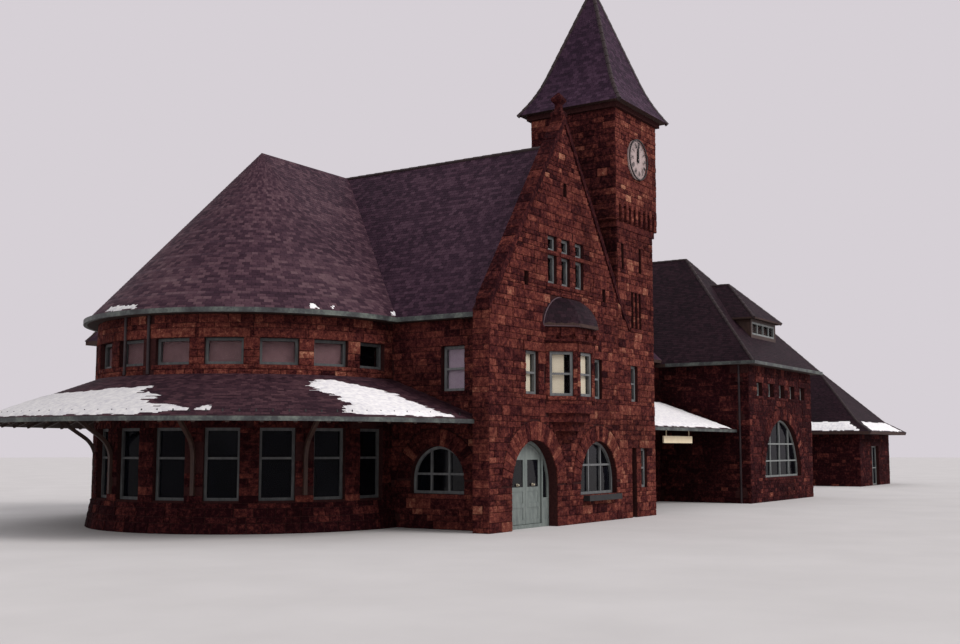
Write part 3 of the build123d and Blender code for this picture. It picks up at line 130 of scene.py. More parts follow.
class Paint:
    """A procedural material under construction."""

    def __init__(self, name, **fixed):
        self.material = bpy.data.materials.new(name)
        self.material.use_nodes = True
        self.tree = self.material.node_tree
        self.shader = self.tree.nodes["Principled BSDF"]
        for key, value in fixed.items():
            self.shader.inputs[key.replace("_", " ")].default_value = value

    def node(self, kind, settings=None, inputs=None, out=0):
        """Any other node: its type, its settings, then the values or links of its sockets."""
        new = self.tree.nodes.new("ShaderNode" + kind)
        for key, value in (settings or {}).items():
            if key == "stops":
                for i, (place, colour) in enumerate(value):
                    stop = new.color_ramp.elements[i] if i < 2 else new.color_ramp.elements.new(place)
                    stop.position, stop.color = place, (*colour, 1)
            else:
                setattr(new, key, value)
        for key, value in (inputs or {}).items():
            if isinstance(value, Value):
                self.tree.links.new(value.socket, new.inputs[key])
            else:
                new.inputs[key].default_value = value
        return Value(self, new.outputs[out])

    def shade(self, colour, factor):
        """A colour made darker or lighter by a number."""
        return self.node("VectorMath", dict(operation="SCALE"), {0: colour, "Scale": factor})

    def place(self, stretch=(1, 1, 1)):
        """Where a point lies on the object, stretched for grain."""
        where = self.node("TexCoord", out=3)
        return self.node("Mapping", None, {"Vector": where, "Scale": stretch})

    def noise(self, scale, detail=4, rough=0.55, stretch=(1, 1, 1)):
        return self.node("TexNoise", None, {"Vector": self.place(stretch), "Scale": scale,
                                            "Detail": detail, "Roughness": rough})

    def attribute(self, name):
        return self.node("Attribute", dict(attribute_name=name), out=2)

    def finish(self, colour=None, rough=None, height=None, bump=0.02, alpha=None):
        """Links what varies; height is in metres times bump."""
        for key, value in (("Base Color", colour), ("Roughness", rough), ("Alpha", alpha)):
            if value is not None:
                self.tree.links.new(value.socket, self.shader.inputs[key])
        if height is not None:
            normal = self.node("Bump", None, {"Height": height, "Distance": bump, "Strength": 1.0})
            self.tree.links.new(normal.socket, self.shader.inputs["Normal"])
        return self.material


def linear(r, g, b):
    """A screen colour from 0 to 255 as the numbers that a shader takes."""
    return tuple((c / 255 / 12.92) if c < 11 else ((c / 255 + 0.055) / 1.055) ** 2.4 for c in (r, g, b))


# %% [markdown]
# The stage is a plain pale floor under a pale sky. The sky is bright only to the camera and in
# reflections; what lights the stone is an even soft dome and one wide sun from the platform side.

# %% Floor, sky and lamps
floor_bm = bmesh.new()
bmesh.ops.create_circle(floor_bm, cap_ends=True, radius=150, segments=64)
floor = bpy.data.objects.new("studio_floor", bpy.data.meshes.new("studio_floor"))
floor_bm.to_mesh(floor.data)
floor_bm.free()
bpy.context.scene.collection.objects.link(floor)
floor_paint = Paint("studio_floor", Roughness=0.9)
floor.data.materials.append(floor_paint.finish(
    floor_paint.noise(0.6).ramp((0.3, (198, 192, 190)), (0.7, (206, 200, 198)))))

world = bpy.data.worlds.new("studio")
bpy.context.scene.world = world
world.use_nodes = True
sky = world.node_tree


def sky_node(kind, *sources):
    """A node of the sky, its first inputs linked to the given outputs."""
    new = sky.nodes.new("ShaderNode" + kind)
    for source, socket in zip(sources, new.inputs):
        sky.links.new(source, socket)
    return new


path = sky_node("LightPath").outputs
glossy = sky_node("Math", path["Is Glossy Ray"], path["Is Transmission Ray"])
seen = sky_node("Math", path["Is Camera Ray"], glossy.outputs[0])
glossy.operation = seen.operation = "MAXIMUM"
plain, pale = sky.nodes["Background"], sky_node("Background")
plain.inputs["Color"].default_value = (0.93, 0.95, 1.0, 1)
plain.inputs["Strength"].default_value = 0.62
pale.inputs["Color"].default_value = (*linear(214, 208, 214), 1)
either = sky_node("MixShader", seen.outputs[0], plain.outputs[0], pale.outputs[0])
sky.links.new(either.outputs[0], sky.nodes["World Output"].inputs["Surface"])


def sun(name, strength, heading, height, width):
    """A lamp like an overcast sun; heading is the side it comes from, 0 for the platform's."""
    lamp = bpy.data.objects.new(name, bpy.data.lights.new(name, "SUN"))
    bpy.context.scene.collection.objects.link(lamp)
    lamp.data.energy, lamp.data.angle = strength, radians(width)
    a, e = radians(heading), radians(height)
    back = Vector((sin(a) * cos(e), -cos(a) * cos(e), sin(e)))
    lamp.rotation_euler = back.to_track_quat("Z", "Y").to_euler()


sun("soft_sun", 1.9, 12, 38, 30)
sun("fill_sun", 0.5, -75, 30, 60)

# %% [markdown]
# Sandstone is laid in rough blocks of mixed reds, a few of them orange or nearly buff. Each stone
# carries a number, its tone, which the shader turns into a colour; small noise adds the broken face.


# %% Sandstone, mortar and dressed stone
def sandstone(name, tone_of, rough_face):
    paint = Paint(name, Roughness=0.9, Specular_IOR_Level=0.03)
    grain = paint.noise(46, 6, 0.7)
    blotch = paint.noise(15, 4, 0.6)
    stain = paint.noise(0.9, 3)
    tone = tone_of(paint) + (grain - 0.5) * 1.1 + (blotch - 0.5) * 1.3
    colour = tone.ramp((0.02, (34, 11, 15)), (0.28, (64, 28, 28)), (0.52, (94, 46, 40)),
                       (0.76, (122, 68, 56)), (0.98, (156, 108, 86)))
    colour = paint.shade(colour, stain.step(0.30, 0.62) * 0.38 + 0.76)
    return paint.finish(colour, rough=grain * 0.2 + 0.75, height=grain + blotch * 1.8, bump=rough_face)


laid_stone = sandstone("laid_sandstone", lambda p: p.attribute("tone"), 0.014)
# A darker sandstone for the gable's coping and finial: painted shade on their sloping tops.
dark_stone = sandstone("sandstone_painted_shade", lambda p: p.noise(2.2, 2) * 0.5 - 0.12, 0.005)
dressed_stone = sandstone("dressed_sandstone", lambda p: p.noise(2.2, 2) * 0.6, 0.005)
mortar_paint = Paint("mortar_and_backing", Specular_IOR_Level=0.03)
mortar_grain = mortar_paint.noise(30, 5)
mortar = mortar_paint.finish(mortar_grain.ramp((0.25, (40, 21, 23)), (0.75, (66, 38, 36))),
                             rough=mortar_grain * 0.1 + 0.85, height=mortar_grain, bump=0.004)

# %% [markdown]
# Slates are told apart by a map that the roof pieces carry: across is the way along the eave, up is
# the number of the course. A white-noise node gives every slate its own shade.


# %% Slates
slate_wide = 0.10
slate_stops = ((0.10, (37, 20, 31)), (0.38, (57, 34, 47)), (0.64, (79, 51, 63)), (0.94, (104, 74, 84)))


def slates(name, light):
    """The same slates, made lighter or darker for each roof; light has a factor for each colour."""
    paint = Paint(name, Roughness=0.7, Specular_IOR_Level=0.08)
    where = paint.node("UVMap", dict(uv_map="slates"))
    across = paint.node("SeparateXYZ", None, {0: where}, out=0)
    course = paint.node("SeparateXYZ", None, {0: where}, out=1)
    course = (course + 0.001).math("FLOOR")
    shift = (course * 0.5).math("FRACT") + paint.node(
        "TexWhiteNoise", dict(noise_dimensions="1D"), {"W": course}) * 0.3
    run = across / slate_wide + shift
    own = paint.node("CombineXYZ", None, {0: run.math("FLOOR"), 1: course})
    shade = paint.node("TexWhiteNoise", dict(noise_dimensions="2D"), {"Vector": own})
    edge = (run.math("FRACT") - 0.5).math("ABSOLUTE").step(0.45, 0.49)
    weather = paint.noise(0.7, 4, 0.6)
    grain = paint.noise(26, 4, 0.6, (1, 1, 3))
    tone = shade * 0.46 + weather * 0.54 + (grain - 0.5) * 0.6
    stops = [(at, [c * k for c, k in zip(rgb, light)]) for at, rgb in slate_stops]
    colour = paint.shade(tone.ramp(*stops), 1 - edge * 0.45)
    return paint.finish(colour, rough=grain * 0.25 + 0.5, height=shade * 0.6 + grain * 0.3 - edge, bump=0.004)


roof_slate = slates("roof_slate", (0.84, 0.86, 0.90))
wing_slate = slates("wing_slate", (1.00, 1.08, 1.00))
dark_slate = slates("pavilion_slate", (0.50, 0.43, 0.47))
canopy_slate = slates("canopy_slate", (0.84, 0.83, 0.77))
spire_slate = slates("spire_slate", (0.77, 0.78, 0.89))
slate_of = {"rotunda_roof": wing_slate, "rotunda_canopy": canopy_slate, "platform_canopy": canopy_slate,
            "spire": spire_slate, "pavilion_roof": dark_slate, "dormer_roof": dark_slate,
            "baggage_roof": dark_slate, "passage_roof": dark_slate, "oriel_roof": dark_slate}
back_paint = Paint("roof_underside", Roughness=0.8, Specular_IOR_Level=0.2)
board_grain = back_paint.noise(6, 5, 0.6, (1, 12, 1))
roof_boards = back_paint.finish(board_grain.ramp((0.3, (46, 32, 30)), (0.7, (72, 52, 46))),
                                height=board_grain, bump=0.004)

# %% [markdown]
# Copper gutters have gone pale green where rain runs and stay brown where it doesn't. The joinery is
# a greyish green paint, worn thin in streaks; the doors are a shade lighter than the windows. The
# panes under the canopies see no sky, so they are given less gloss than the others.


# %% Copper, paint, glass, iron and timber
def coated(name, colours, grain_scale, stretch=(1, 1, 1), bump=0.002, places=(0.3, 0.7), **fixed):
    """A finish of one hue with blotches and fine wear."""
    paint = Paint(name, Specular_IOR_Level=0.25, **fixed)
    blotch = paint.noise(grain_scale, 6, 0.62, stretch)
    fine = paint.noise(grain_scale * 9, 3, 0.6, stretch)
    return paint.finish((blotch * 0.75 + fine * 0.25).ramp(*zip(places, colours)), rough=fine * 0.25 + 0.4,
                        height=fine + blotch, bump=bump)


def joinery(name, *colours):
    """Paint on window frames and doors, streaked upwards."""
    return coated(name, colours, 5.0, (3, 3, 1), 0.001, (0.30, 0.55, 0.75))


copper = coated("weathered_copper", ((40, 36, 38), (68, 70, 70), (112, 118, 110)), 3.0,
                places=(0.30, 0.48, 0.66), Metallic=0.1)
pipe_copper = coated("brown_copper", ((28, 20, 24), (54, 42, 44), (74, 66, 64)), 3.0,
                     places=(0.30, 0.60, 0.80), Metallic=0.1)
window_paint = joinery("window_paint", (60, 60, 62), (84, 84, 84), (104, 104, 100))
hall_paint = joinery("hall_window_paint", (80, 80, 82), (106, 106, 106), (126, 124, 120))
lead_grey = coated("lead", ((60, 42, 50), (92, 70, 76)), 9.0)
pale_paint = joinery("pale_window_paint", (98, 100, 100), (124, 126, 124), (146, 146, 142))
door_paint = joinery("door_paint", (88, 94, 92), (112, 118, 114), (130, 134, 128))
iron = coated("painted_iron", ((24, 24, 26), (44, 42, 42)), 8.0)
timber = coated("stained_timber", ((42, 28, 26), (76, 54, 46)), 4.0, (6, 6, 1))
floor_boards = coated("floor_boards", ((84, 60, 44), (120, 90, 66)), 3.0, (1, 9, 1))
# The dial's enamel is a dim pinkish grey: partly its own colour, partly painted shade.
dial_shaded_enamel = coated("dial_enamel_painted_shade", ((156, 136, 134), (182, 162, 158)), 4.0)
blind_cloth = coated("blind_cloth", ((246, 228, 198), (255, 242, 216)), 6.0, (1, 1, 9))
rose_blind = coated("faded_blind_cloth", ((116, 84, 88), (140, 106, 108)), 6.0)
grey_blind = coated("grey_blind_cloth", ((172, 150, 168), (200, 178, 192)), 6.0)
# The board's cream is partly its paint and partly painted light, made brighter than the board is in its
# shade.
sign_paint_painted_light = coated("sign_paint_painted_light", ((226, 204, 170), (240, 222, 190)), 6.0)
brass = coated("worn_brass", ((150, 138, 118), (196, 186, 166)), 30.0)
ridge_clay = coated("ridge_tile", ((30, 20, 23), (52, 36, 36)), 7.0)


def panes(name, gloss):
    """Glass that is dark on the ground floor, its near-opaque dark painted shade of the rooms behind, and
    lets the blinds show on the upper one.
    """
    paint = Paint(name, Roughness=0.07, Specular_IOR_Level=gloss)
    haze = paint.noise(2.0)
    height = paint.node("SeparateXYZ", None, {0: paint.place()}, out=2)
    return paint.finish(haze.ramp((0.3, (8, 8, 12)), (0.7, (18, 18, 24))),
                        rough=haze * 0.08 + 0.03, alpha=height.step(2.05, 1.95) * 0.76 + 0.12)


glass, shaded_glass = panes("window_glass", 0.2), panes("shaded_glass", 0.04)
finishes = {"glass": glass, "green_paint": window_paint, "copper": copper, "dial": dial_shaded_enamel,
            "black_metal": iron, "timber": timber, "floor": floor_boards, "slate": roof_boards,
            "sandstone": mortar}
own_finish = {"entrance_leaf_left": door_paint, "entrance_leaf_right": door_paint,
              "entrance_frame": door_paint, "gable_coping": dark_stone, "gable_finial": dark_stone,
              "tower_corbel_table": dressed_stone, "oriel_corbel": dressed_stone,
              "hall_window_frames": hall_paint, "east_window_frames": pale_paint,
              "name_board": sign_paint_painted_light, "downpipes": pipe_copper,
              "rotunda_glass": shaded_glass, "east_glass": shaded_glass}
slot_of = {part["node"]: part["material_slot"] for part in frame["record"]["subparts"]}
for name, thing in nodes.items():
    finish = own_finish.get(name, finishes[slot_of[name]])
    thing.data.materials.clear()
    thing.data.materials.append(finish)
print("finishes on", len(nodes), "nodes")

# %% [markdown]
# Every piece that is added here is a bmesh first. It is written to an object at the origin, rides on a
# body of the frame and says which of the record's finishes it takes.


# %% From a bmesh to a piece
box_gap = 0.0005  # nothing comes nearer than this to the frame's own box from inside


def make(name, bm, finish, body="station"):
    """Turns a bmesh into a named piece that rides on a body."""
    for v in bm.verts:
        v.co = [min(max(c, low + box_gap), high - box_gap) for c, low, high in zip(v.co, *cad_box)]
    mesh = bpy.data.meshes.new(name)
    bm.to_mesh(mesh)
    bm.free()
    mesh.materials.append(finish)
    piece = bpy.data.objects.new(name, mesh)
    bpy.context.scene.collection.objects.link(piece)
    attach(piece, body)
    print(name, "faces", len(mesh.polygons))
    return piece


def merged(*names):
    """A bmesh of some nodes with their loose triangles joined."""
    bm = bmesh.new()
    for name in names:
        bm.from_mesh(nodes[name].data)
    bmesh.ops.remove_doubles(bm, verts=bm.verts, dist=0.0002)
    return bm


def block(bm, spot, *size):
    """A box of three sizes, centred at a placing matrix."""
    return bmesh.ops.create_cube(bm, size=1, matrix=spot @ Matrix.Diagonal((*size, 1)))["verts"]


def rod(bm, spot, length, near, far, segments):
    """A round bar along the z of a placing matrix, with the radius of each end."""
    bmesh.ops.create_cone(bm, cap_ends=True, segments=segments, radius1=near, radius2=far, depth=length,
                          matrix=spot)


# %% [markdown]
# A mason lays courses of uneven height and breaks each into stones of uneven length. Instead of
# listing the openings, rays are shot at the wall: where they meet its face there is wall to cover, so
# stones stop at windows, arches and sloping gables by themselves. The two kinds of face, flat and
# round, only differ in how a length along the wall becomes a place.


# %% Faces of wall
up = Vector((0, 0, 1))
beside = 0.2  # a window belongs to a face that is nearer than this


def axes_at(along, outward, spot):
    """A placing matrix: x along the wall, z outward, y square to both, which is up on a wall."""
    axes = Matrix((along, outward.cross(along), outward)).transposed().to_4x4()
    axes.translation = spot
    return axes


class Flat:
    """An upright flat wall face; u runs to the right as seen from outside."""

    def __init__(self, x, y, heading, length):
        self.start, self.length = Vector((x, y, 0)), length
        self.along = Vector((cos(radians(heading)), sin(radians(heading)), 0))
        self.outward = self.along.cross(up)

    def frame(self, u, z, out=0.0):
        return axes_at(self.along, self.outward, self.start + self.along * u + self.outward * out + up * z)

    def u_of(self, spot):
        """Place along the wall of a point, or None where the point is far from the face."""
        gap = spot - self.start
        u = gap.dot(self.along)
        return u if abs(gap.dot(self.outward)) < beside and -0.05 < u < self.length + 0.05 else None


class Round:
    """The face of the round wing; u runs along the arc."""

    def __init__(self, x, y, radius, start, end):
        self.centre, self.radius, self.start = Vector((x, y, 0)), radius, radians(start)
        self.length = radius * radians(end - start)

    def frame(self, u, z, out=0.0):
        a = self.start + u / self.radius
        outward = Vector((cos(a), sin(a), 0))
        return axes_at(up.cross(outward), outward, self.centre + outward * (self.radius + out) + up * z)

    def u_of(self, spot):
        gap = spot - self.centre
        a = atan2(gap.y, gap.x) % tau - self.start
        near = abs(hypot(gap.x, gap.y) - self.radius) < beside
        return a * self.radius if near and -0.01 < a * self.radius < self.length + 0.01 else None


def tree_of(*names):
    """What rays are shot at: some nodes as one tree of faces."""
    bm = merged(*names)
    tree = BVHTree.FromBMesh(bm)
    bm.free()
    return tree


whole = tree_of(*[n for n in nodes if "hand" not in n])
reach = 0.12  # how far off the wall a ray starts


def depth(tree, face, u, z, slack):
    """How far the wall stands out from the face at a point, or None where there is no wall."""
    spot = face.frame(u, z, reach)
    hit = tree.ray_cast(spot.translation, -spot.col[2].to_3d(), reach + slack)[3]
    return reach - hit if hit is not None and abs(reach - hit) < slack else None


def outdoors(face, u, z, out):
    """True where a stone would be seen: some way out of the wall is free."""
    spot = face.frame(u, z, out + 0.03)
    along, outward = spot.col[0].to_3d(), spot.col[2].to_3d()
    ways = (outward, outward + along * 0.5, outward - along * 0.5, outward + up * 1.5)
    return any(whole.ray_cast(spot.translation, way.normalized(), 3.0)[0] is None for way in ways)


def runs(solid, length, step=0.045):
    """Stretches of a course where solid(u) holds, with their ends found to two millimetres."""
    count = max(1, round(length / step))
    found, begun, before = [], None, 0.0
    for k in range(count + 1):
        u = min(max(k * length / count, 0.001), length - 0.001)
        if solid(u) != (begun is not None):
            low, high = before, u
            for _ in range(5):
                middle = (low + high) / 2
                low, high = (middle, high) if solid(middle) == (begun is not None) else (low, middle)
            if begun is None:
                begun = 0.0 if k == 0 else high
            else:
                found.append((begun, low))
                begun = None
        before = u
    return found + ([(begun, length)] if begun is not None else [])


# %% [markdown]
# A stone is a cube without its back. Its front is inset, cut into nine and its inner corners are
# pulled out unevenly, which gives the pitched, rough face. A heap collects the stones of one piece,
# so that one inset and one cut serve them all.

# %% A heap of stones
course_heights = [h * real for h in (0.16, 0.19, 0.22, 0.26, 0.31)]
joint = 0.007
sunk = 0.012  # how deep a stone sits in the wall


class Stones:
    """The stones of one piece; mean is the middle of their tones."""

    def __init__(self, seed, mean=0.38):
        self.dice, self.bm, self.fronts, self.mean = random.Random(seed), bmesh.new(), [], mean
        self.tone = self.bm.faces.layers.float.new("tone")

    def lay(self, spot, wide, high, out, tone=None, taper=0.0):
        """One stone on the wall, centred at a placing matrix; taper narrows its lower end."""
        centre = spot @ Matrix.Translation((0, 0, (out - sunk) / 2))
        verts = block(self.bm, centre, wide - joint, high - joint, out + sunk)
        if taper:
            for v in verts:
                local = centre.inverted() @ v.co
                local.x *= 1 + taper * local.y / high
                v.co = centre @ local
        faces = list(dict.fromkeys(f for v in verts for f in v.link_faces))
        if tone is None:  # one in sixteen is an orange one
            tone = self.dice.gauss(self.mean, 0.12) + (0.26 if self.dice.random() < 0.06 else 0)
        faces.sort(key=lambda f: f.calc_center_median().dot(spot.col[2].to_3d()))
        for f in faces:
            f[self.tone] = min(0.98, max(0.02, tone))
        self.bm.faces.remove(faces[0])
        self.fronts.append(faces[-1])

    def build(self, name):
        bmesh.ops.inset_individual(self.bm, faces=self.fronts, thickness=0.010, depth=0.005)
        edges = list(dict.fromkeys(e for f in self.fronts for e in f.edges))
        new = bmesh.ops.subdivide_edges(self.bm, edges=edges, cuts=2, use_grid_fill=True)["geom_inner"]
        self.bm.normal_update()
        for v in [g for g in new if isinstance(g, bmesh.types.BMVert)]:
            level = min(f.normal.dot(v.normal) for f in v.link_faces) > 0.999
            slide = Vector([self.dice.uniform(-0.006, 0.006) for _ in range(3)])
            v.co += slide + v.normal * self.dice.uniform(-0.002, 0.009) if level else slide * 0.5
        print(name, "stones", len(self.fronts))
        return make(name, self.bm, laid_stone)


# %% [markdown]
# Openings get what real ones have: a long lintel stone and a sill over and under a square head, and a
# ring of long wedge stones round an arch. The places come from the window frames of the building, cut
# into islands of joined faces.


# %% Windows of a face, their lintels, sills and arch rings
def islands(name):
    """The points of each separate solid in a node."""
    bm = merged(name)
    seen, found = set(), []
    for first in bm.verts:
        if first in seen:
            continue
        seen.add(first)
        group = [first]
        for v in group:  # grows while it is walked
            for other in (e.other_vert(v) for e in v.link_edges):
                if other not in seen:
                    seen.add(other)
                    group.append(other)
        found.append([v.co.copy() for v in group])
    bm.free()
    return found


window_islands = [i for n in ("hall_window_frames", "rotunda_window_frames", "east_window_frames")
                  for i in islands(n)]
lintel_high, lintel_past = 0.30 * real, 0.16 * real
sill_high, sill_past, sill_out = 0.15 * real, 0.10 * real, 0.018
arch_from = 0.95  # frames wider than this are arches
slit_high = 0.20  # frames lower than this have no lintel
ring_wide, wedge_wide = 0.56 * real, 0.24 * real  # a ring of stones and one stone in it
door_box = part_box("entrance_arch")
door_ring = 0.62 * real
door_middle = (door_box[0].x + door_box[1].x) / 2
door_radius = (door_box[1].x - door_box[0].x) / 2 - door_ring


def windows_of(face):
    """Middle, sill, head, width and rear of each window in a face."""
    found = []
    for points in window_islands:
        middle = sum(points, Vector()) / len(points)
        if face.u_of(middle) is None:
            continue
        us = [face.u_of(p) for p in points]
        if None in us:
            continue
        zs = [p.z for p in points]
        spot = face.frame((min(us) + max(us)) / 2, 0)
        outs = [(p - spot.translation).dot(spot.col[2].to_3d()) for p in points]
        found.append(((min(us) + max(us)) / 2, min(zs), max(zs), max(us) - min(us), min(outs)))
    return found


def dress_openings(heap, face, tree, foot, top):
    """Lays the lintels, sills and rings between two heights; returns a test for the wall that is left."""
    taken, rings = [], []
    for u, sill, head, wide, _ in windows_of(face):
        half = wide / 2
        below = (u - half - sill_past, u + half + sill_past, sill - sill_high, sill)
        if wide < arch_from:
            if depth(tree, face, u, head + lintel_high / 2, 0.01) is not None and head - sill > slit_high:
                taken.append((u - half - lintel_past, u + half + lintel_past, head, head + lintel_high))
            if sill > 0.1 and depth(tree, face, u, sill - sill_high / 2, 0.01) is not None:
                taken.append(below)
        else:
            rings.append((u, head - half, half, ring_wide))
            taken.append(below)
    parts = 4 if isinstance(face, Round) else 1
    taken = [t for t in taken if foot < t[3] and t[2] < top]
    for u0, u1, z0, z1 in taken:
        out = sill_out if z1 - z0 < lintel_high else heap.dice.uniform(0.004, 0.010)
        tone, step = heap.dice.gauss(heap.mean + 0.04, 0.10), (u1 - u0) / parts
        for k in range(parts):
            heap.lay(face.frame(u0 + step * (k + 0.5), (z0 + z1) / 2), step + joint * (parts > 1), z1 - z0,
                     out * (0.6 if parts > 1 else 1), tone)
    in_front = (isinstance(face, Flat) and abs(face.outward.y + 1) < 0.01
                and abs(face.start.y - front_y) < 0.01)
    if in_front and face.u_of(Vector((door_middle, front_y, 0))) is not None:
        rings.append((door_middle - face.start.x, door_box[1].z - door_radius - door_ring,
                      door_radius, door_ring))
    for u, spring, radius, ring in rings:
        middle = radius + ring / 2
        count = max(9, round(pi * middle / wedge_wide))
        for k in range(count):
            a = pi * (k + 0.5) / count
            spot = face.frame(u + middle * cos(a), spring + middle * sin(a))
            heap.lay(spot @ Matrix.Rotation(a - pi / 2, 4, "Z"), pi * middle / count, ring,
                     heap.dice.uniform(0.008, 0.022), heap.dice.gauss(heap.mean + 0.06, 0.14),
                     taper=ring / middle)

    def free(u, z):
        if any(u0 < u < u1 and z0 < z < z1 for u0, u1, z0, z1 in taken):
            return False
        return not any(z > spring and hypot(u - cu, z - spring) < r + ring for cu, spring, r, ring in rings)

    breaks = {z for t in taken for z in t[2:]}
    return free, sorted(breaks)


# %% [markdown]
# Now a face of wall is covered course by course. Three levels of each course are tested, so a stone
# never hangs over a slope or an arch, and stones that nobody could see are left out.


# %% Laying a wall
level_in = 0.008  # how far inside a course its outer two levels are tested


def cover(heap, face, names, foot, top, slack=0.006):
    """Covers a face between two heights; slack is how far the wall may stray from the face."""
    tree = tree_of(*names)
    free, breaks = dress_openings(heap, face, tree, foot, top)
    dice = heap.dice

    def course(z, high, laid, splits):
        """One course between z and z + high, then the gaps it left in two lower ones."""
        levels = (z + level_in, z + high / 2, z + high - level_in)

        def solid(u):
            return not any(a - 0.001 < u < b + 0.001 for a, b in laid) and all(
                free(u, level) and depth(tree, face, u, level, slack) is not None for level in levels)

        found = [run for run in runs(solid, face.length) if run[1] - run[0] > 0.025]
        for u, end in found:
            while end - u > 0.02:
                wide = min(dice.uniform(0.9, 2.6) * max(high, 0.10), end - u)
                if end - u - wide < 0.07:
                    wide = end - u
                feet = [depth(tree, face, u + wide / 2, level, slack) or 0.0 for level in levels]
                if outdoors(face, u + wide / 2, levels[1], feet[1]):
                    spot = face.frame(u + wide / 2, levels[1], feet[1])
                    lean = atan2(feet[0] - feet[2], levels[2] - levels[0])
                    heap.lay(spot @ Matrix.Rotation(-lean, 4, "X"), wide, high, dice.uniform(0.003, 0.013))
                u += wide
        if splits and high > 0.07:
            for half in (0, 1):
                course(z + half * high / 2, high / 2, laid + found, splits - 1)

    z = foot
    while z < top - 0.03:
        limit = min([b for b in breaks if b > z + 0.05] + [top])
        high = dice.choice(course_heights)
        if limit - z < high + 0.07:
            high = limit - z if limit - z < 0.2 else (limit - z) / 2
        course(z, high, [], 2)
        z += high


def extent(*names):
    """Lowest and highest corner of several nodes together."""
    boxes = [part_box(n) for n in names]
    return (Vector([min(b[0][i] for b in boxes) for i in range(3)]),
            Vector([max(b[1][i] for b in boxes) for i in range(3)]))


def four_faces(low, high):
    """The four outer faces of an upright block: front, right, back and left."""
    return (Flat(low.x, low.y, 0, high.x - low.x), Flat(high.x, low.y, 90, high.y - low.y),
            Flat(high.x, high.y, 180, high.x - low.x), Flat(low.x, high.y, 270, high.y - low.y))


def stonework(name, seed, means, faces, names, foot, top, slack=0.006):
    """One piece of stones over some faces, each with its own mean tone; a lower mean paints the shade a face
    stands in.
    """
    heap = Stones(seed)
    for face, heap.mean in zip(faces, means):
        cover(heap, face, names, foot, top, slack)
    heap.build(name)


# %% Stones of the gable and its coping
gable_nodes = ("front_wall_left", "front_wall_right", "gable_wall")
tower_nodes = ("tower_front_wall", "tower_side_walls", "tower_back_wall")
gable_low, gable_high = extent(*gable_nodes)
tower_low, tower_high = extent(*tower_nodes)
front_y = gable_low.y
gable_face = Flat(gable_low.x, front_y, 0, tower_low.x - gable_low.x)
gable_side = Flat(gable_low.x, gable_high.y, 270, gable_high.y - front_y)
stonework("gable_stones", 1, (0.38, 0.38), (gable_face, gable_side), gable_nodes, 0, gable_high.z)
coping_low, coping_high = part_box("gable_coping")
coping_deep, coping_count = coping_high.y - coping_low.y, 22
coping_half, coping_foot = 4.88 * real, 7.16 * real  # where its two slopes end
apex = Vector((0, (coping_low.y + coping_high.y) / 2, coping_high.z - 0.005))
# The coping's stones take a low mean tone: painted shade on its sloping top.
heap = Stones(15, 0.16)
for side in (-1, 1):
    slope = Vector((side * coping_half, 0, coping_foot - apex.z))
    along = slope.normalized()
    outward = along.cross(Vector((0, side, 0)))
    for k in range(coping_count):
        middle = apex + slope * ((k + 0.5) / coping_count)
        if middle.x < tower_low.x - 0.1:
            heap.lay(axes_at(along, outward, middle), slope.length / coping_count, coping_deep,
                     heap.dice.uniform(0.004, 0.014))
heap.build("coping_stones")

# %% Stones of the tower and the bay window
# The tower's back and left faces take lower means: painted shade, darkest on the left face, away from the
# sun.
stonework("tower_stones", 2, (0.42, 0.42, 0.34, 0.24), four_faces(tower_low, tower_high),
          (*tower_nodes, *gable_nodes), 0, tower_high.z)
stage_low, stage_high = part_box("clock_stage")
cornice_out, cornice_high = 0.14 * real, 0.20 * real  # the cornice on top of the clock stage
stage_wall = Vector((cornice_out, cornice_out, 0))
# The clock stage's back and left faces are made darker the same way: painted shade.
stonework("clock_stage_stones", 3, (0.46, 0.46, 0.38, 0.24),
          four_faces(stage_low + stage_wall, stage_high - stage_wall),
          ("clock_stage", "clock_dial", "tower_corbel_table"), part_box("tower_corbel_table")[0].z,
          stage_high.z - cornice_high)
oriel_low, oriel_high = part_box("oriel_walls")
bay = front_y - oriel_low.y  # how far the bay window stands out
left, right = oriel_low.x, oriel_high.x
bay_faces = (Flat(left, front_y, 315, bay * sqrt(2)),
             Flat(left + bay, front_y - bay, 0, right - left - 2 * bay),
             Flat(right - bay, front_y - bay, 45, bay * sqrt(2)))
stonework("bay_window_stones", 14, (0.38,) * 3, bay_faces, ("oriel_walls",), oriel_low.z, oriel_high.z)

# %% [markdown]
# A small slated hood shelters the bay window. It rests on a cornice with brackets, and lead covers its
# edges. Those along the wall are found by cutting a copy of the hood just before the wall, those along
# the eave by their height, and each edge gets a thin round bar.

# %% Cornice, brackets and lead edges of the bay's hood
cornice, lead = bmesh.new(), bmesh.new()
for face in bay_faces:
    for z, high, out in ((6.10, 0.05, 0.07), (6.15, 0.05, 0.11)):
        spot = face.frame(face.length / 2, z * real, out * real / 2)
        block(cornice, spot, face.length + out * real, high * real, out * real)
    for u in (face.length / 2, face.length - 0.03):
        block(cornice, face.frame(u, 6.34 * real, 0.08 * real), 0.10 * real, 0.14 * real, 0.16 * real)
make("bay_cornice", cornice, dressed_stone)
hood = merged("oriel_roof")
hood_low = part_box("oriel_roof")[0].z
at_wall = bmesh.ops.bisect_plane(hood, geom=[*hood.verts, *hood.edges, *hood.faces], clear_outer=True,
                                 plane_co=(0, front_y - 0.018, 0), plane_no=(0, 1, 0))["geom_cut"]
at_wall = {e for e in at_wall if isinstance(e, bmesh.types.BMEdge)
           and min(v.co.z for v in e.verts) > hood_low + 0.01}
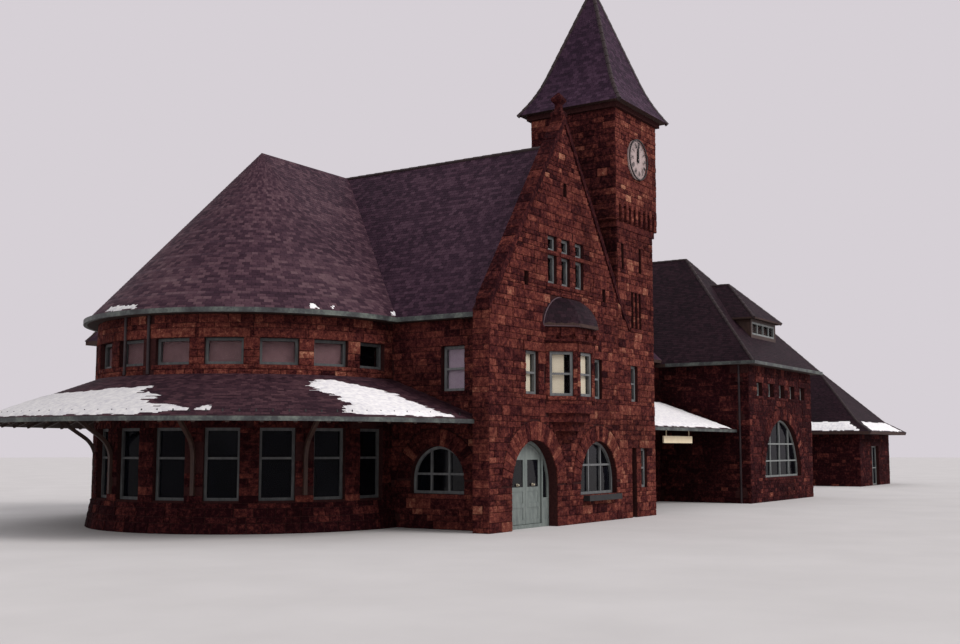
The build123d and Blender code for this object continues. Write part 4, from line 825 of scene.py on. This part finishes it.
for edge in hood.edges:
    a, b = (v.co for v in edge.verts)
    on_eave = (max(a.z, b.z) < hood_low + 0.03 and abs(a.z - b.z) < 0.002
               and min(a.y, b.y) < front_y - 0.01)
    if edge in at_wall or on_eave and edge.calc_length() > 0.05:
        way = (b - a).normalized()
        side = way.cross(Vector((0.3, 1, 0.2))).normalized()
        middle = (a + b) / 2 + Vector((0, 0.0118, 0.008)) * on_eave
        rod(lead, axes_at(side, way, middle), (b - a).length + 0.01, 0.011, 0.011, 8)
hood.free()
make("hood_lead", lead, lead_grey)

# %% [markdown]
# The round wing leans out at its foot: there the same call finds the batter and tilts each stone to
# it. Its wall is five arcs, so one face runs over all of them. What the canopy keeps in the dark is
# laid as pieces of its own, with darker stones that are painted shade, darkest on the plinth.

# %% Stones of the round wing and the hall
rotunda_nodes = tuple(f"rotunda_wall_{k}" for k in range(1, 6))
wing_low, wing_high = extent(*rotunda_nodes)
axis_y = (wing_low.y + wing_high.y) / 2
wing_x, wing_r, stub = -4.82 * real, 5.35 * real, 0.80 * real
plinth_top, shade_top = 0.92 * real, 4.6 * real
wing_face = Round(wing_x, axis_y, wing_r, 90, 270)
wing_faces = (wing_face, Flat(wing_x, axis_y - wing_r, 0, stub),
              Flat(wing_x + stub, axis_y + wing_r, 180, stub))
stonework("round_wing_stones", 4, (0.42,) * 3, wing_faces, rotunda_nodes, shade_top, wing_high.z)
# Under the canopy the stones and the plinth take low means: painted shade of the canopy.
stonework("round_wing_shaded_stones", 16, (0.20,) * 3, wing_faces, rotunda_nodes, plinth_top, shade_top)
stonework("round_wing_plinth", 5, (0.06,) * 3, wing_faces, rotunda_nodes, 0, plinth_top, 0.115)
hall_left, hall_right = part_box("hall_left_walls"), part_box("hall_right_walls")
hall_back = Vector((hall_right[1].x, hall_right[1].y + 0.45 * real, 0))
heap = Stones(6, 0.28)
cover(heap, four_faces(*hall_left)[3], ("hall_left_walls",), 0, hall_left[1].z)
cover(heap, four_faces(*hall_right)[1], ("hall_right_walls",), 0, hall_right[1].z)
cover(heap, four_faces(hall_left[0], hall_back)[2], ("back_walls", "hall_left_walls"), 0, hall_left[1].z)
heap.build("hall_stones")

# %% Stones of the waiting room, the pavilion, the passage and the baggage house
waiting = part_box("waiting_room_walls")
stonework("waiting_room_stones", 7, (0.18,) * 2, four_faces(*waiting)[::2], ("waiting_room_walls",),
          0, waiting[1].z)
pavilion_nodes = ("pavilion_front_wall", "pavilion_side_walls", "back_walls")
pavilion = extent(*pavilion_nodes[:2])
pavilion[1].y = 2 * axis_y - pavilion[0].y
# The pavilion's faces take low means that paint the shade they stand in: the right face, toward the sun,
# lightest, the left face darkest.
for seed, mean, side, face in zip((8, 9, 10, 11), (0.14, 0.20, 0.14, 0.06),
                                  ("front", "right", "back", "left"), four_faces(*pavilion)):
    stonework(f"pavilion_{side}_stones", seed, (mean,), (face,), pavilion_nodes, 0, pavilion[1].z)
baggage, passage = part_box("baggage_walls"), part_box("passage_walls")
# The baggage house and the passage stand in shade, painted into their low mean tone.
stonework("baggage_stones", 12, (0.06,) * 4, four_faces(*baggage), ("baggage_walls",), 0, baggage[1].z)
stonework("passage_stones", 13, (0.06,) * 2, four_faces(*passage)[::2], ("passage_walls",),
          0, passage[1].z)

# %% [markdown]
# A slate roof is a stair of thin courses. The upper faces of each roof solid are cut by level planes,
# the strips come apart at the cuts, and each strip's lower edge is lifted and given a butt. A map
# called slates records the way along the eave and the course, for the material.


# %% Slates on the roofs
slate_gauge, slate_lift = 0.13 * real, 0.006  # the part of a slate that shows, and its thickness
looks_up = 0.15  # least upward share of the normal on the upper side of a roof


def slate_roof(node, about=None):
    """The slates of a roof; about is the axis and the radius by which a cone's eave is measured."""
    bm = merged(node)
    bmesh.ops.delete(bm, geom=[f for f in bm.faces if f.normal.z < looks_up], context="FACES")
    area = sum(f.calc_area() for f in bm.faces)
    tilt = sum(f.normal.z * f.calc_area() for f in bm.faces) / area
    step = slate_gauge * sqrt(1 - tilt * tilt)
    low, high = (pick(v.co.z for v in bm.verts) for pick in (min, max))
    cuts = []
    for k in range(1, int((high - low) / step) + 1):
        cut = bmesh.ops.bisect_plane(bm, geom=[*bm.verts, *bm.edges, *bm.faces], dist=1e-5,
                                     plane_co=(0, 0, low + k * step), plane_no=(0, 0, 1))["geom_cut"]
        cuts += [g for g in cut if isinstance(g, bmesh.types.BMEdge)]
    bmesh.ops.split_edges(bm, edges=[e for e in cuts if e.is_valid])

    def course(face):
        return int((face.calc_center_median().z - low) / step)

    def run_of(p, along):
        """The way along the eave: an arc on a cone, and straight on where its roof runs on beside it."""
        if not about:
            return p.dot(along)
        x, y, radius = about
        if p.x > x + 0.001:
            side, quarter = (1, 1.5) if p.y < y else (-1, 0.5)
            return (p.x - x) * side + quarter * pi * radius
        return (atan2(p.y - y, p.x - x) % tau) * radius

    lower = {v for v in bm.verts if v.link_faces and (k := course(v.link_faces[0]))
             and abs(v.co.z - low - k * step) < 2e-4}
    for v in bm.verts:
        v.co.z += slate_lift if v in lower else 0.001 if v.co.z < high - 0.01 else 0.0
    butts = bmesh.ops.extrude_edge_only(bm, edges=[e for e in bm.edges if set(e.verts) <= lower])["geom"]
    for v in butts:
        if isinstance(v, bmesh.types.BMVert):
            v.co.z -= slate_lift * 1.3
    bm.normal_update()
    places = bm.loops.layers.uv.new("slates")
    for f in bm.faces:
        k = course(f)
        along = Vector((-f.normal.y, f.normal.x, 0))
        along = along.normalized() if along.length > 1e-6 else Vector((1, 0, 0))
        for loop in f.loops:
            loop[places].uv = (run_of(loop.vert.co, along), k + 0.5)
    make(f"slates_of_{node}", bm, slate_of.get(node, roof_slate))


for node in ("main_roof", "waiting_room_roof", "pavilion_roof", "dormer_roof", "baggage_roof",
             "passage_roof", "oriel_roof", "spire", "platform_canopy"):
    slate_roof(node)
slate_roof("rotunda_roof", (wing_x, axis_y, wing_r * 0.7))
slate_roof("rotunda_canopy", (wing_x, axis_y, wing_r * 1.3))

# %% [markdown]
# Ridges and hips are covered by a row of half-round tiles. They are found, not listed: every edge of
# a roof where two upper faces meet like a ridge gets its row.


# %% Ridge and hip tiles
tile_radius, tile_long = 0.085 * real, 0.42 * real
least_bend = radians(16)  # the facets of a cone bend less than a hip


def ridge_tiles(node):
    roof, tiles = merged(node), bmesh.new()
    roof.normal_update()
    for edge in roof.edges:
        faces = edge.link_faces
        if len(faces) != 2 or min(f.normal.z for f in faces) < looks_up or edge.calc_length() < 0.06:
            continue
        if not edge.is_convex or edge.calc_face_angle(0) < least_bend:
            continue
        low, high = sorted((v.co for v in edge.verts), key=lambda p: p.z)
        along = (high - low).normalized()
        outward = (faces[0].normal + faces[1].normal).normalized()
        count = max(1, round(edge.calc_length() / tile_long))
        for k in range(count):
            middle = low + (high - low) * ((k + 0.5) / count) - outward * tile_radius * 0.45
            rod(tiles, axes_at(outward, along, middle), edge.calc_length() / count * 1.05, tile_radius,
                tile_radius * 0.84, 10)
    roof.free()
    make(f"ridge_tiles_of_{node}", tiles, ridge_clay)


for node in ("main_roof", "waiting_room_roof", "pavilion_roof", "baggage_roof", "passage_roof", "spire",
             "dormer_roof"):
    ridge_tiles(node)
cap, cap_high = bmesh.new(), 0.20
spire_low, spire_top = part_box("spire")
spire_mid = (spire_low + spire_top) / 2
rod(cap, Matrix.Translation((spire_mid.x, spire_mid.y, spire_top.z - cap_high / 2)), cap_high, 0.10, 0.012, 8)
make("spire_cap", cap, iron)

# %% [markdown]
# Snow still lies on the lower roofs. A level grid is drawn in the roof's own two measures, cut to a ragged
# outline, laid on the slope and raised towards its middle, so that it thins out at the edges.


# %% Snow
snow_paint = Paint("snow", Roughness=0.75, Specular_IOR_Level=0.2)
crust = snow_paint.noise(14, 5)
# Snow west of x = -3.6 is made up to three tenths darker: painted shade on the side of the round canopy
# turned from the sun.
east = snow_paint.node("SeparateXYZ", None, {0: snow_paint.place()}, out=0)
snow_white = snow_paint.finish(snow_paint.shade(crust.ramp((0.25, (214, 208, 214)), (0.6, (248, 242, 240))),
                                                east.step(-5.2, -3.6) * 0.30 + 0.70), height=crust, bump=0.01)


def inside(outline, u, v):
    """True where a point lies in a closed outline."""
    odd = False
    for (a, b), (c, d) in zip(outline, outline[1:] + outline[:1]):
        if (b > v) != (d > v) and u < a + (v - b) * (c - a) / (d - b):
            odd = not odd
    return odd


def snow(name, outline, spot_of, cell, thick=0.026, ragged=1.0):
    """A patch in the roof's measures u and v; cell is the grid's size in them."""
    (u0, v0), (u1, v1) = [[pick(p[i] for p in outline) for i in (0, 1)] for pick in (min, max)]
    bm = bmesh.new()
    middle = Matrix.Translation(((u0 + u1) / 2, (v0 + v1) / 2, 0))
    bmesh.ops.create_grid(bm, x_segments=int((u1 - u0) / cell[0]), y_segments=int((v1 - v0) / cell[1]),
                          size=0.5, matrix=middle @ Matrix.Diagonal((u1 - u0, v1 - v0, 1, 1)))

    def torn(p):
        i, j = p.x / cell[0], p.y / cell[1]
        du = noise.noise(Vector((i * 0.10, j * 0.45, 1))) * 9 + noise.noise(Vector((i * 0.4, j * 0.8, 5))) * 2
        dv = (noise.noise(Vector((i * 0.16, j * 0.16, 9))) * 3
              + noise.noise(Vector((i * 0.5, j * 0.5, 3))) * 1.5)
        return not inside(outline, p.x + du * cell[0] * ragged, p.y + dv * cell[1] * ragged)

    bmesh.ops.delete(bm, geom=[v for v in bm.verts if torn(v.co)], context="VERTS")
    bmesh.ops.delete(bm, geom=[v for v in bm.verts if not v.link_faces], context="VERTS")
    level = {v: 0 for v in bm.verts if v.is_boundary}
    edge = list(level)
    while edge:
        edge = [v for w in edge for e in w.link_edges if (v := e.other_vert(w)) not in level
                and level.setdefault(v, level[w] + 1)]
    for v in bm.verts:
        depth_here = min(1.0, level.get(v, 0) / 4) ** 0.6
        lump = 1 + 0.35 * noise.noise(Vector((v.co.x / cell[0] * 0.2, v.co.y / cell[1] * 0.2, 0)))
        v.co = spot_of(v.co.x, v.co.y) + up * (0.004 + thick * depth_here * lump)
    bm.normal_update()
    if sum(f.normal.z for f in bm.faces) < 0:
        bmesh.ops.reverse_faces(bm, faces=bm.faces[:])
    for f in bm.faces:
        f.smooth = True
    make(name, bm, snow_white)


# %% Snow on the round canopy
canopy_fall = (4.85 - 3.47) / 3.70  # the round canopy's slope
canopy_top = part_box("rotunda_canopy")[1].z


def about_wing(degree, r, z):
    """A point round the axis of the round wing, r in metres of the real building."""
    a = radians(degree)
    return Vector((wing_x + r * real * cos(a), axis_y + r * real * sin(a), z))


def on_canopy(degree, r):
    return about_wing(degree, r, canopy_top - canopy_fall * (r * real - wing_r))


snow("snow_canopy_left", [(150, 9.0), (152, 7.2), (160, 6.9), (173.5, 6.9), (184, 6.7), (190, 6.63),
                          (196.5, 6.47), (198, 7.05), (202, 7.3), (201, 7.75), (205.5, 8.2), (210.5, 8.4),
                          (211.5, 8.6), (208, 8.88), (200, 9.0)], on_canopy, (0.5, 0.045))
snow("snow_canopy_crumb", [(212.2, 8.66), (213, 8.3), (215.6, 8.2), (215.6, 8.66)], on_canopy, (0.2, 0.03),
     0.012, 0.6)
snow("snow_canopy_right", [(236.4, 6.4), (241.3, 5.85), (246.9, 5.8), (253.4, 6.2), (259.5, 6.7), (262, 7.3),
                           (263, 7.9), (265, 8.6), (266.5, 8.98), (255, 9.0), (243.6, 8.9), (240.3, 8.8),
                           (240.8, 8.4), (242.8, 8.0), (241.7, 7.5), (240.4, 7.1), (237, 6.7)],
     on_canopy, (0.5, 0.045), ragged=0.7)

# %% Snow on the platform canopy and the baggage house
deck_front, deck_back, deck_eave, deck_rise = 0.60, 4.45, 3.45, 1.40  # the platform canopy's slope


def on_deck(x, y):
    part = (y - deck_front) / (deck_back - deck_front)
    return Vector((x * real, y * real, (deck_eave + part * deck_rise) * real))


snow("snow_platform_canopy", [(7.6, 0.66), (17.85, 0.66), (17.85, 4.38), (12.0, 4.38), (10.0, 3.6),
                              (8.0, 3.2)], on_deck, (0.09, 0.09), 0.03, 0.3)
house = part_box("baggage_roof")[0]
house_eave, house_fall = 3.68, 0.617


def on_front_band(x, t):
    return Vector((x * real, house.y + t * real, (house_eave + t * house_fall) * real))


def on_left_band(y, t):
    return Vector((house.x + t * real, y * real, (house_eave + t * house_fall) * real))


snow("snow_baggage_front", [(44.55, 0.05), (53.1, 0.05), (52.2, 1.12), (45.7, 1.12)], on_front_band,
     (0.09, 0.07), 0.03, 0.5)
snow("snow_baggage_left", [(1.75, 0.05), (8.3, 0.05), (8.1, 1.12), (2.85, 1.12)], on_left_band,
     (0.09, 0.07), 0.03, 0.25)

# %% Snow left on the wing's roof
cone_top = 13.12
cone_fall = (cone_top - 6.85) / 5.73


def on_wing_roof(degree, r):
    return about_wing(degree, r, (cone_top - cone_fall * r) * real)


def on_wing_side(x, r):
    return Vector((x * real, axis_y - r * real, (cone_top - cone_fall * r) * real))


for name, first, last in (("back", 165, 183), ("middle", 239.5, 243.5), ("front", 246.3, 249.6)):
    snow(f"snow_wing_eave_{name}", [(first, 5.70), (first + 1, 5.5), (last - 1, 5.52), (last, 5.70)],
         on_wing_roof, (0.3, 0.03), 0.012, 0.5)
snow("snow_in_valley", [(-4.72, 5.70), (-3.84, 5.70), (-3.72, 5.35), (-3.35, 4.70), (-3.55, 4.75),
                        (-3.95, 5.3), (-4.30, 5.56)], on_wing_side, (0.04, 0.04), 0.03, 0.5)

# %% [markdown]
# Behind the panes hang blinds: faded rose ones fill the windows of the drum, pale ones cover part of
# a few others. Each is one flat sheet just behind its window frame, with a wooden bar at its hem.


# %% Blinds
frame_edge = 0.03  # what a frame takes from its opening in all
blind_back, rail_down = 0.005, 0.02  # behind the frame, and below its head
hem_high, hem_deep = 0.012, 0.006


def blinds(group, face, cloth, keep, share=1.0):
    """Blinds in the windows of a face for which keep(u, sill) holds; share of the width, from the left."""
    count = 0
    for u, sill, head, wide, back in windows_of(face):
        if not keep(u, sill):
            continue
        count += 1
        drop, width = (head - sill - frame_edge) * 0.96, (wide - frame_edge) * share
        middle, rail = u - (wide - frame_edge) * (1 - share) / 2, head - rail_down
        spot = face.frame(middle, rail - drop / 2, back - blind_back)
        bm = bmesh.new()
        bmesh.ops.create_grid(bm, x_segments=1, y_segments=8, size=0.5,
                              matrix=spot @ Matrix.Diagonal((width, drop, 1, 1)))
        bmesh.ops.solidify(bm, geom=bm.faces[:], thickness=0.001)
        sheet = make(f"blind_{group}_{count}", bm, cloth)
        hem = bmesh.new()
        block(hem, face.frame(middle, rail - drop, back - blind_back), width, hem_high, hem_deep)
        bar = make(f"blind_bar_{group}_{count}", hem, timber)


blinds("drum", wing_face, rose_blind, lambda u, sill: sill > 2.3, 1.0)
blinds("gable", gable_face, blind_cloth, lambda u, sill: 2.0 < sill < 2.4 and u < 2.0, 0.85)
blinds("hall", four_faces(*hall_left)[3], grey_blind, lambda u, sill: sill > 2.0)
blinds("bay_cheek", bay_faces[0], blind_cloth, lambda u, sill: True, 0.68)
blinds("bay_front", bay_faces[1], blind_cloth, lambda u, sill: True, 0.85)

# %% [markdown]
# The clock face gets hour numbers made of plain strokes, sixty minute marks and a rim. The hands are
# solids of the frame already.


# %% Clock face
dial_low, dial_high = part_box("clock_dial")
dial_mid = (dial_low + dial_high) / 2
dial_r = (dial_high.x - dial_low.x) / 2
strokes = {"I": [(0, -1, 0, 1)], "V": [(-0.6, 1, 0, -1), (0, -1, 0.6, 1)],
           "X": [(-0.6, 1, 0.6, -1), (-0.6, -1, 0.6, 1)]}
steps = {"I": 0.62, "V": 1.45, "X": 1.55}  # room that a sign takes
number_at, number_half = 0.72, 0.13  # middle and half height of the numbers, in radii of the dial
numbers = "I II III IIII V VI VII VIII IX X XI XII".split()
marks = bmesh.new()


def mark(angle, s0, t0, s1, t1, wide):
    """A flat bar on the dial; s runs clockwise and t outward from the centre."""
    out, round_way = Vector((sin(angle), 0, cos(angle))), Vector((cos(angle), 0, -sin(angle)))
    centre = Vector((dial_mid.x, dial_low.y - 0.0015, dial_mid.z))
    a, b = centre + round_way * s0 + out * t0, centre + round_way * s1 + out * t1
    way = (b - a).normalized()
    spot = axes_at(Vector((0, -1, 0)).cross(way), way, (a + b) / 2)
    block(marks, spot, wide, 0.003, (b - a).length)


for hour, number in enumerate(numbers, 1):
    wide = sum(steps[c] for c in number)
    at = -wide / 2
    for c in number:
        at += steps[c] / 2
        for s0, t0, s1, t1 in strokes[c]:
            unit = 0.030 if len(number) < 4 else 0.024
            mark(hour * tau / 12, (at + s0) * unit, dial_r * (number_at + number_half * t0),
                 (at + s1) * unit, dial_r * (number_at + number_half * t1), 0.011)
        at += steps[c] / 2
for minute in range(60):
    mark(minute * tau / 60, 0, dial_r * 0.90, 0, dial_r * 0.945, 0.008 if minute % 5 == 0 else 0.004)
make("clock_numbers", marks, iron)
rim = bmesh.new()
bmesh.ops.create_grid(rim, x_segments=1, y_segments=1, size=0.5, matrix=Matrix.Translation(
    (dial_mid.x + dial_r, dial_low.y + 0.006, dial_mid.z)) @ Matrix.Diagonal((0.022, 0.020, 1, 1)))
bmesh.ops.spin(rim, geom=rim.verts[:] + rim.edges[:] + rim.faces[:], cent=dial_mid, axis=(0, 1, 0), angle=tau,
               steps=64, use_merge=True)
bmesh.ops.recalc_face_normals(rim, faces=rim.faces[:])
make("clock_rim", rim, iron)

# %% [markdown]
# Small fittings close the picture: rafters under the canopies, studs that hold the snow back, the
# knobs of the doors, and a box for flowers, empty in winter, under the arched window.

# %% Rafters and snow studs
rafters = bmesh.new()
canopy_thick, rafter_high = 0.14 * real, 0.10 * real
rafter_long, rafter_wide, rafter_middle = 3.75 * real, 0.06 * real, 7.18
fall_angle = atan2(canopy_fall, 1)
for degree in range(93, 270, 6):
    a = radians(degree)
    outward = Vector((cos(a), sin(a), 0))
    way = outward * cos(fall_angle) - up * sin(fall_angle)
    middle = on_canopy(degree, rafter_middle) - up * (canopy_thick + rafter_high / 2 + 0.005 * real)
    block(rafters, axes_at(way, way.cross(up.cross(outward)), middle), rafter_long, rafter_high, rafter_wide)
make("canopy_rafters", rafters, timber)
studs = bmesh.new()
for degree in range(92, 270, 3):
    rod(studs, Matrix.Translation(on_canopy(degree, 8.72) + up * 0.02), 0.04, 0.016, 0.006, 6)
make("snow_studs", studs, iron)

# %% Door fittings and the flower box
for side in ("left", "right"):
    pane_low, pane_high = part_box(f"leaf_glass_{side}")
    x, y, z = (pane_low.x + pane_high.x) / 2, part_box(f"entrance_leaf_{side}")[0].y, pane_low.z + 0.035
    fitting = bmesh.new()
    lying = Matrix.Rotation(pi / 2, 4, "X")
    for radius, near, far in ((0.026, pane_low.y - 0.006, pane_low.y), (0.008, y - 0.012, pane_low.y)):
        rod(fitting, Matrix.Translation((x, (near + far) / 2, z)) @ lying, far - near, radius, radius, 16)
    bmesh.ops.create_uvsphere(fitting, u_segments=16, v_segments=10, radius=0.020,
                              matrix=Matrix.Translation((x, y - 0.020, z)))
    make(f"knob_{side}", fitting, brass, f"leaf_{side}")
box = bmesh.new()
box_x, box_z = 2.375 * real, 0.86 * real
block(box, Matrix.Translation((box_x, front_y - 0.075, box_z)), 2.5 * real, 0.14, 0.10)
top = [f for f in box.faces if f.normal.z > 0.9]
bmesh.ops.inset_region(box, faces=top, thickness=0.012)
for v in {v for f in top for v in f.verts}:
    v.co.z -= 0.04
make("flower_box", box, iron)

# %% [markdown]
# Before the end the size of the frame is printed.

print("cad", [round(v, 3) for v in (*cad_box[0], *cad_box[1])])
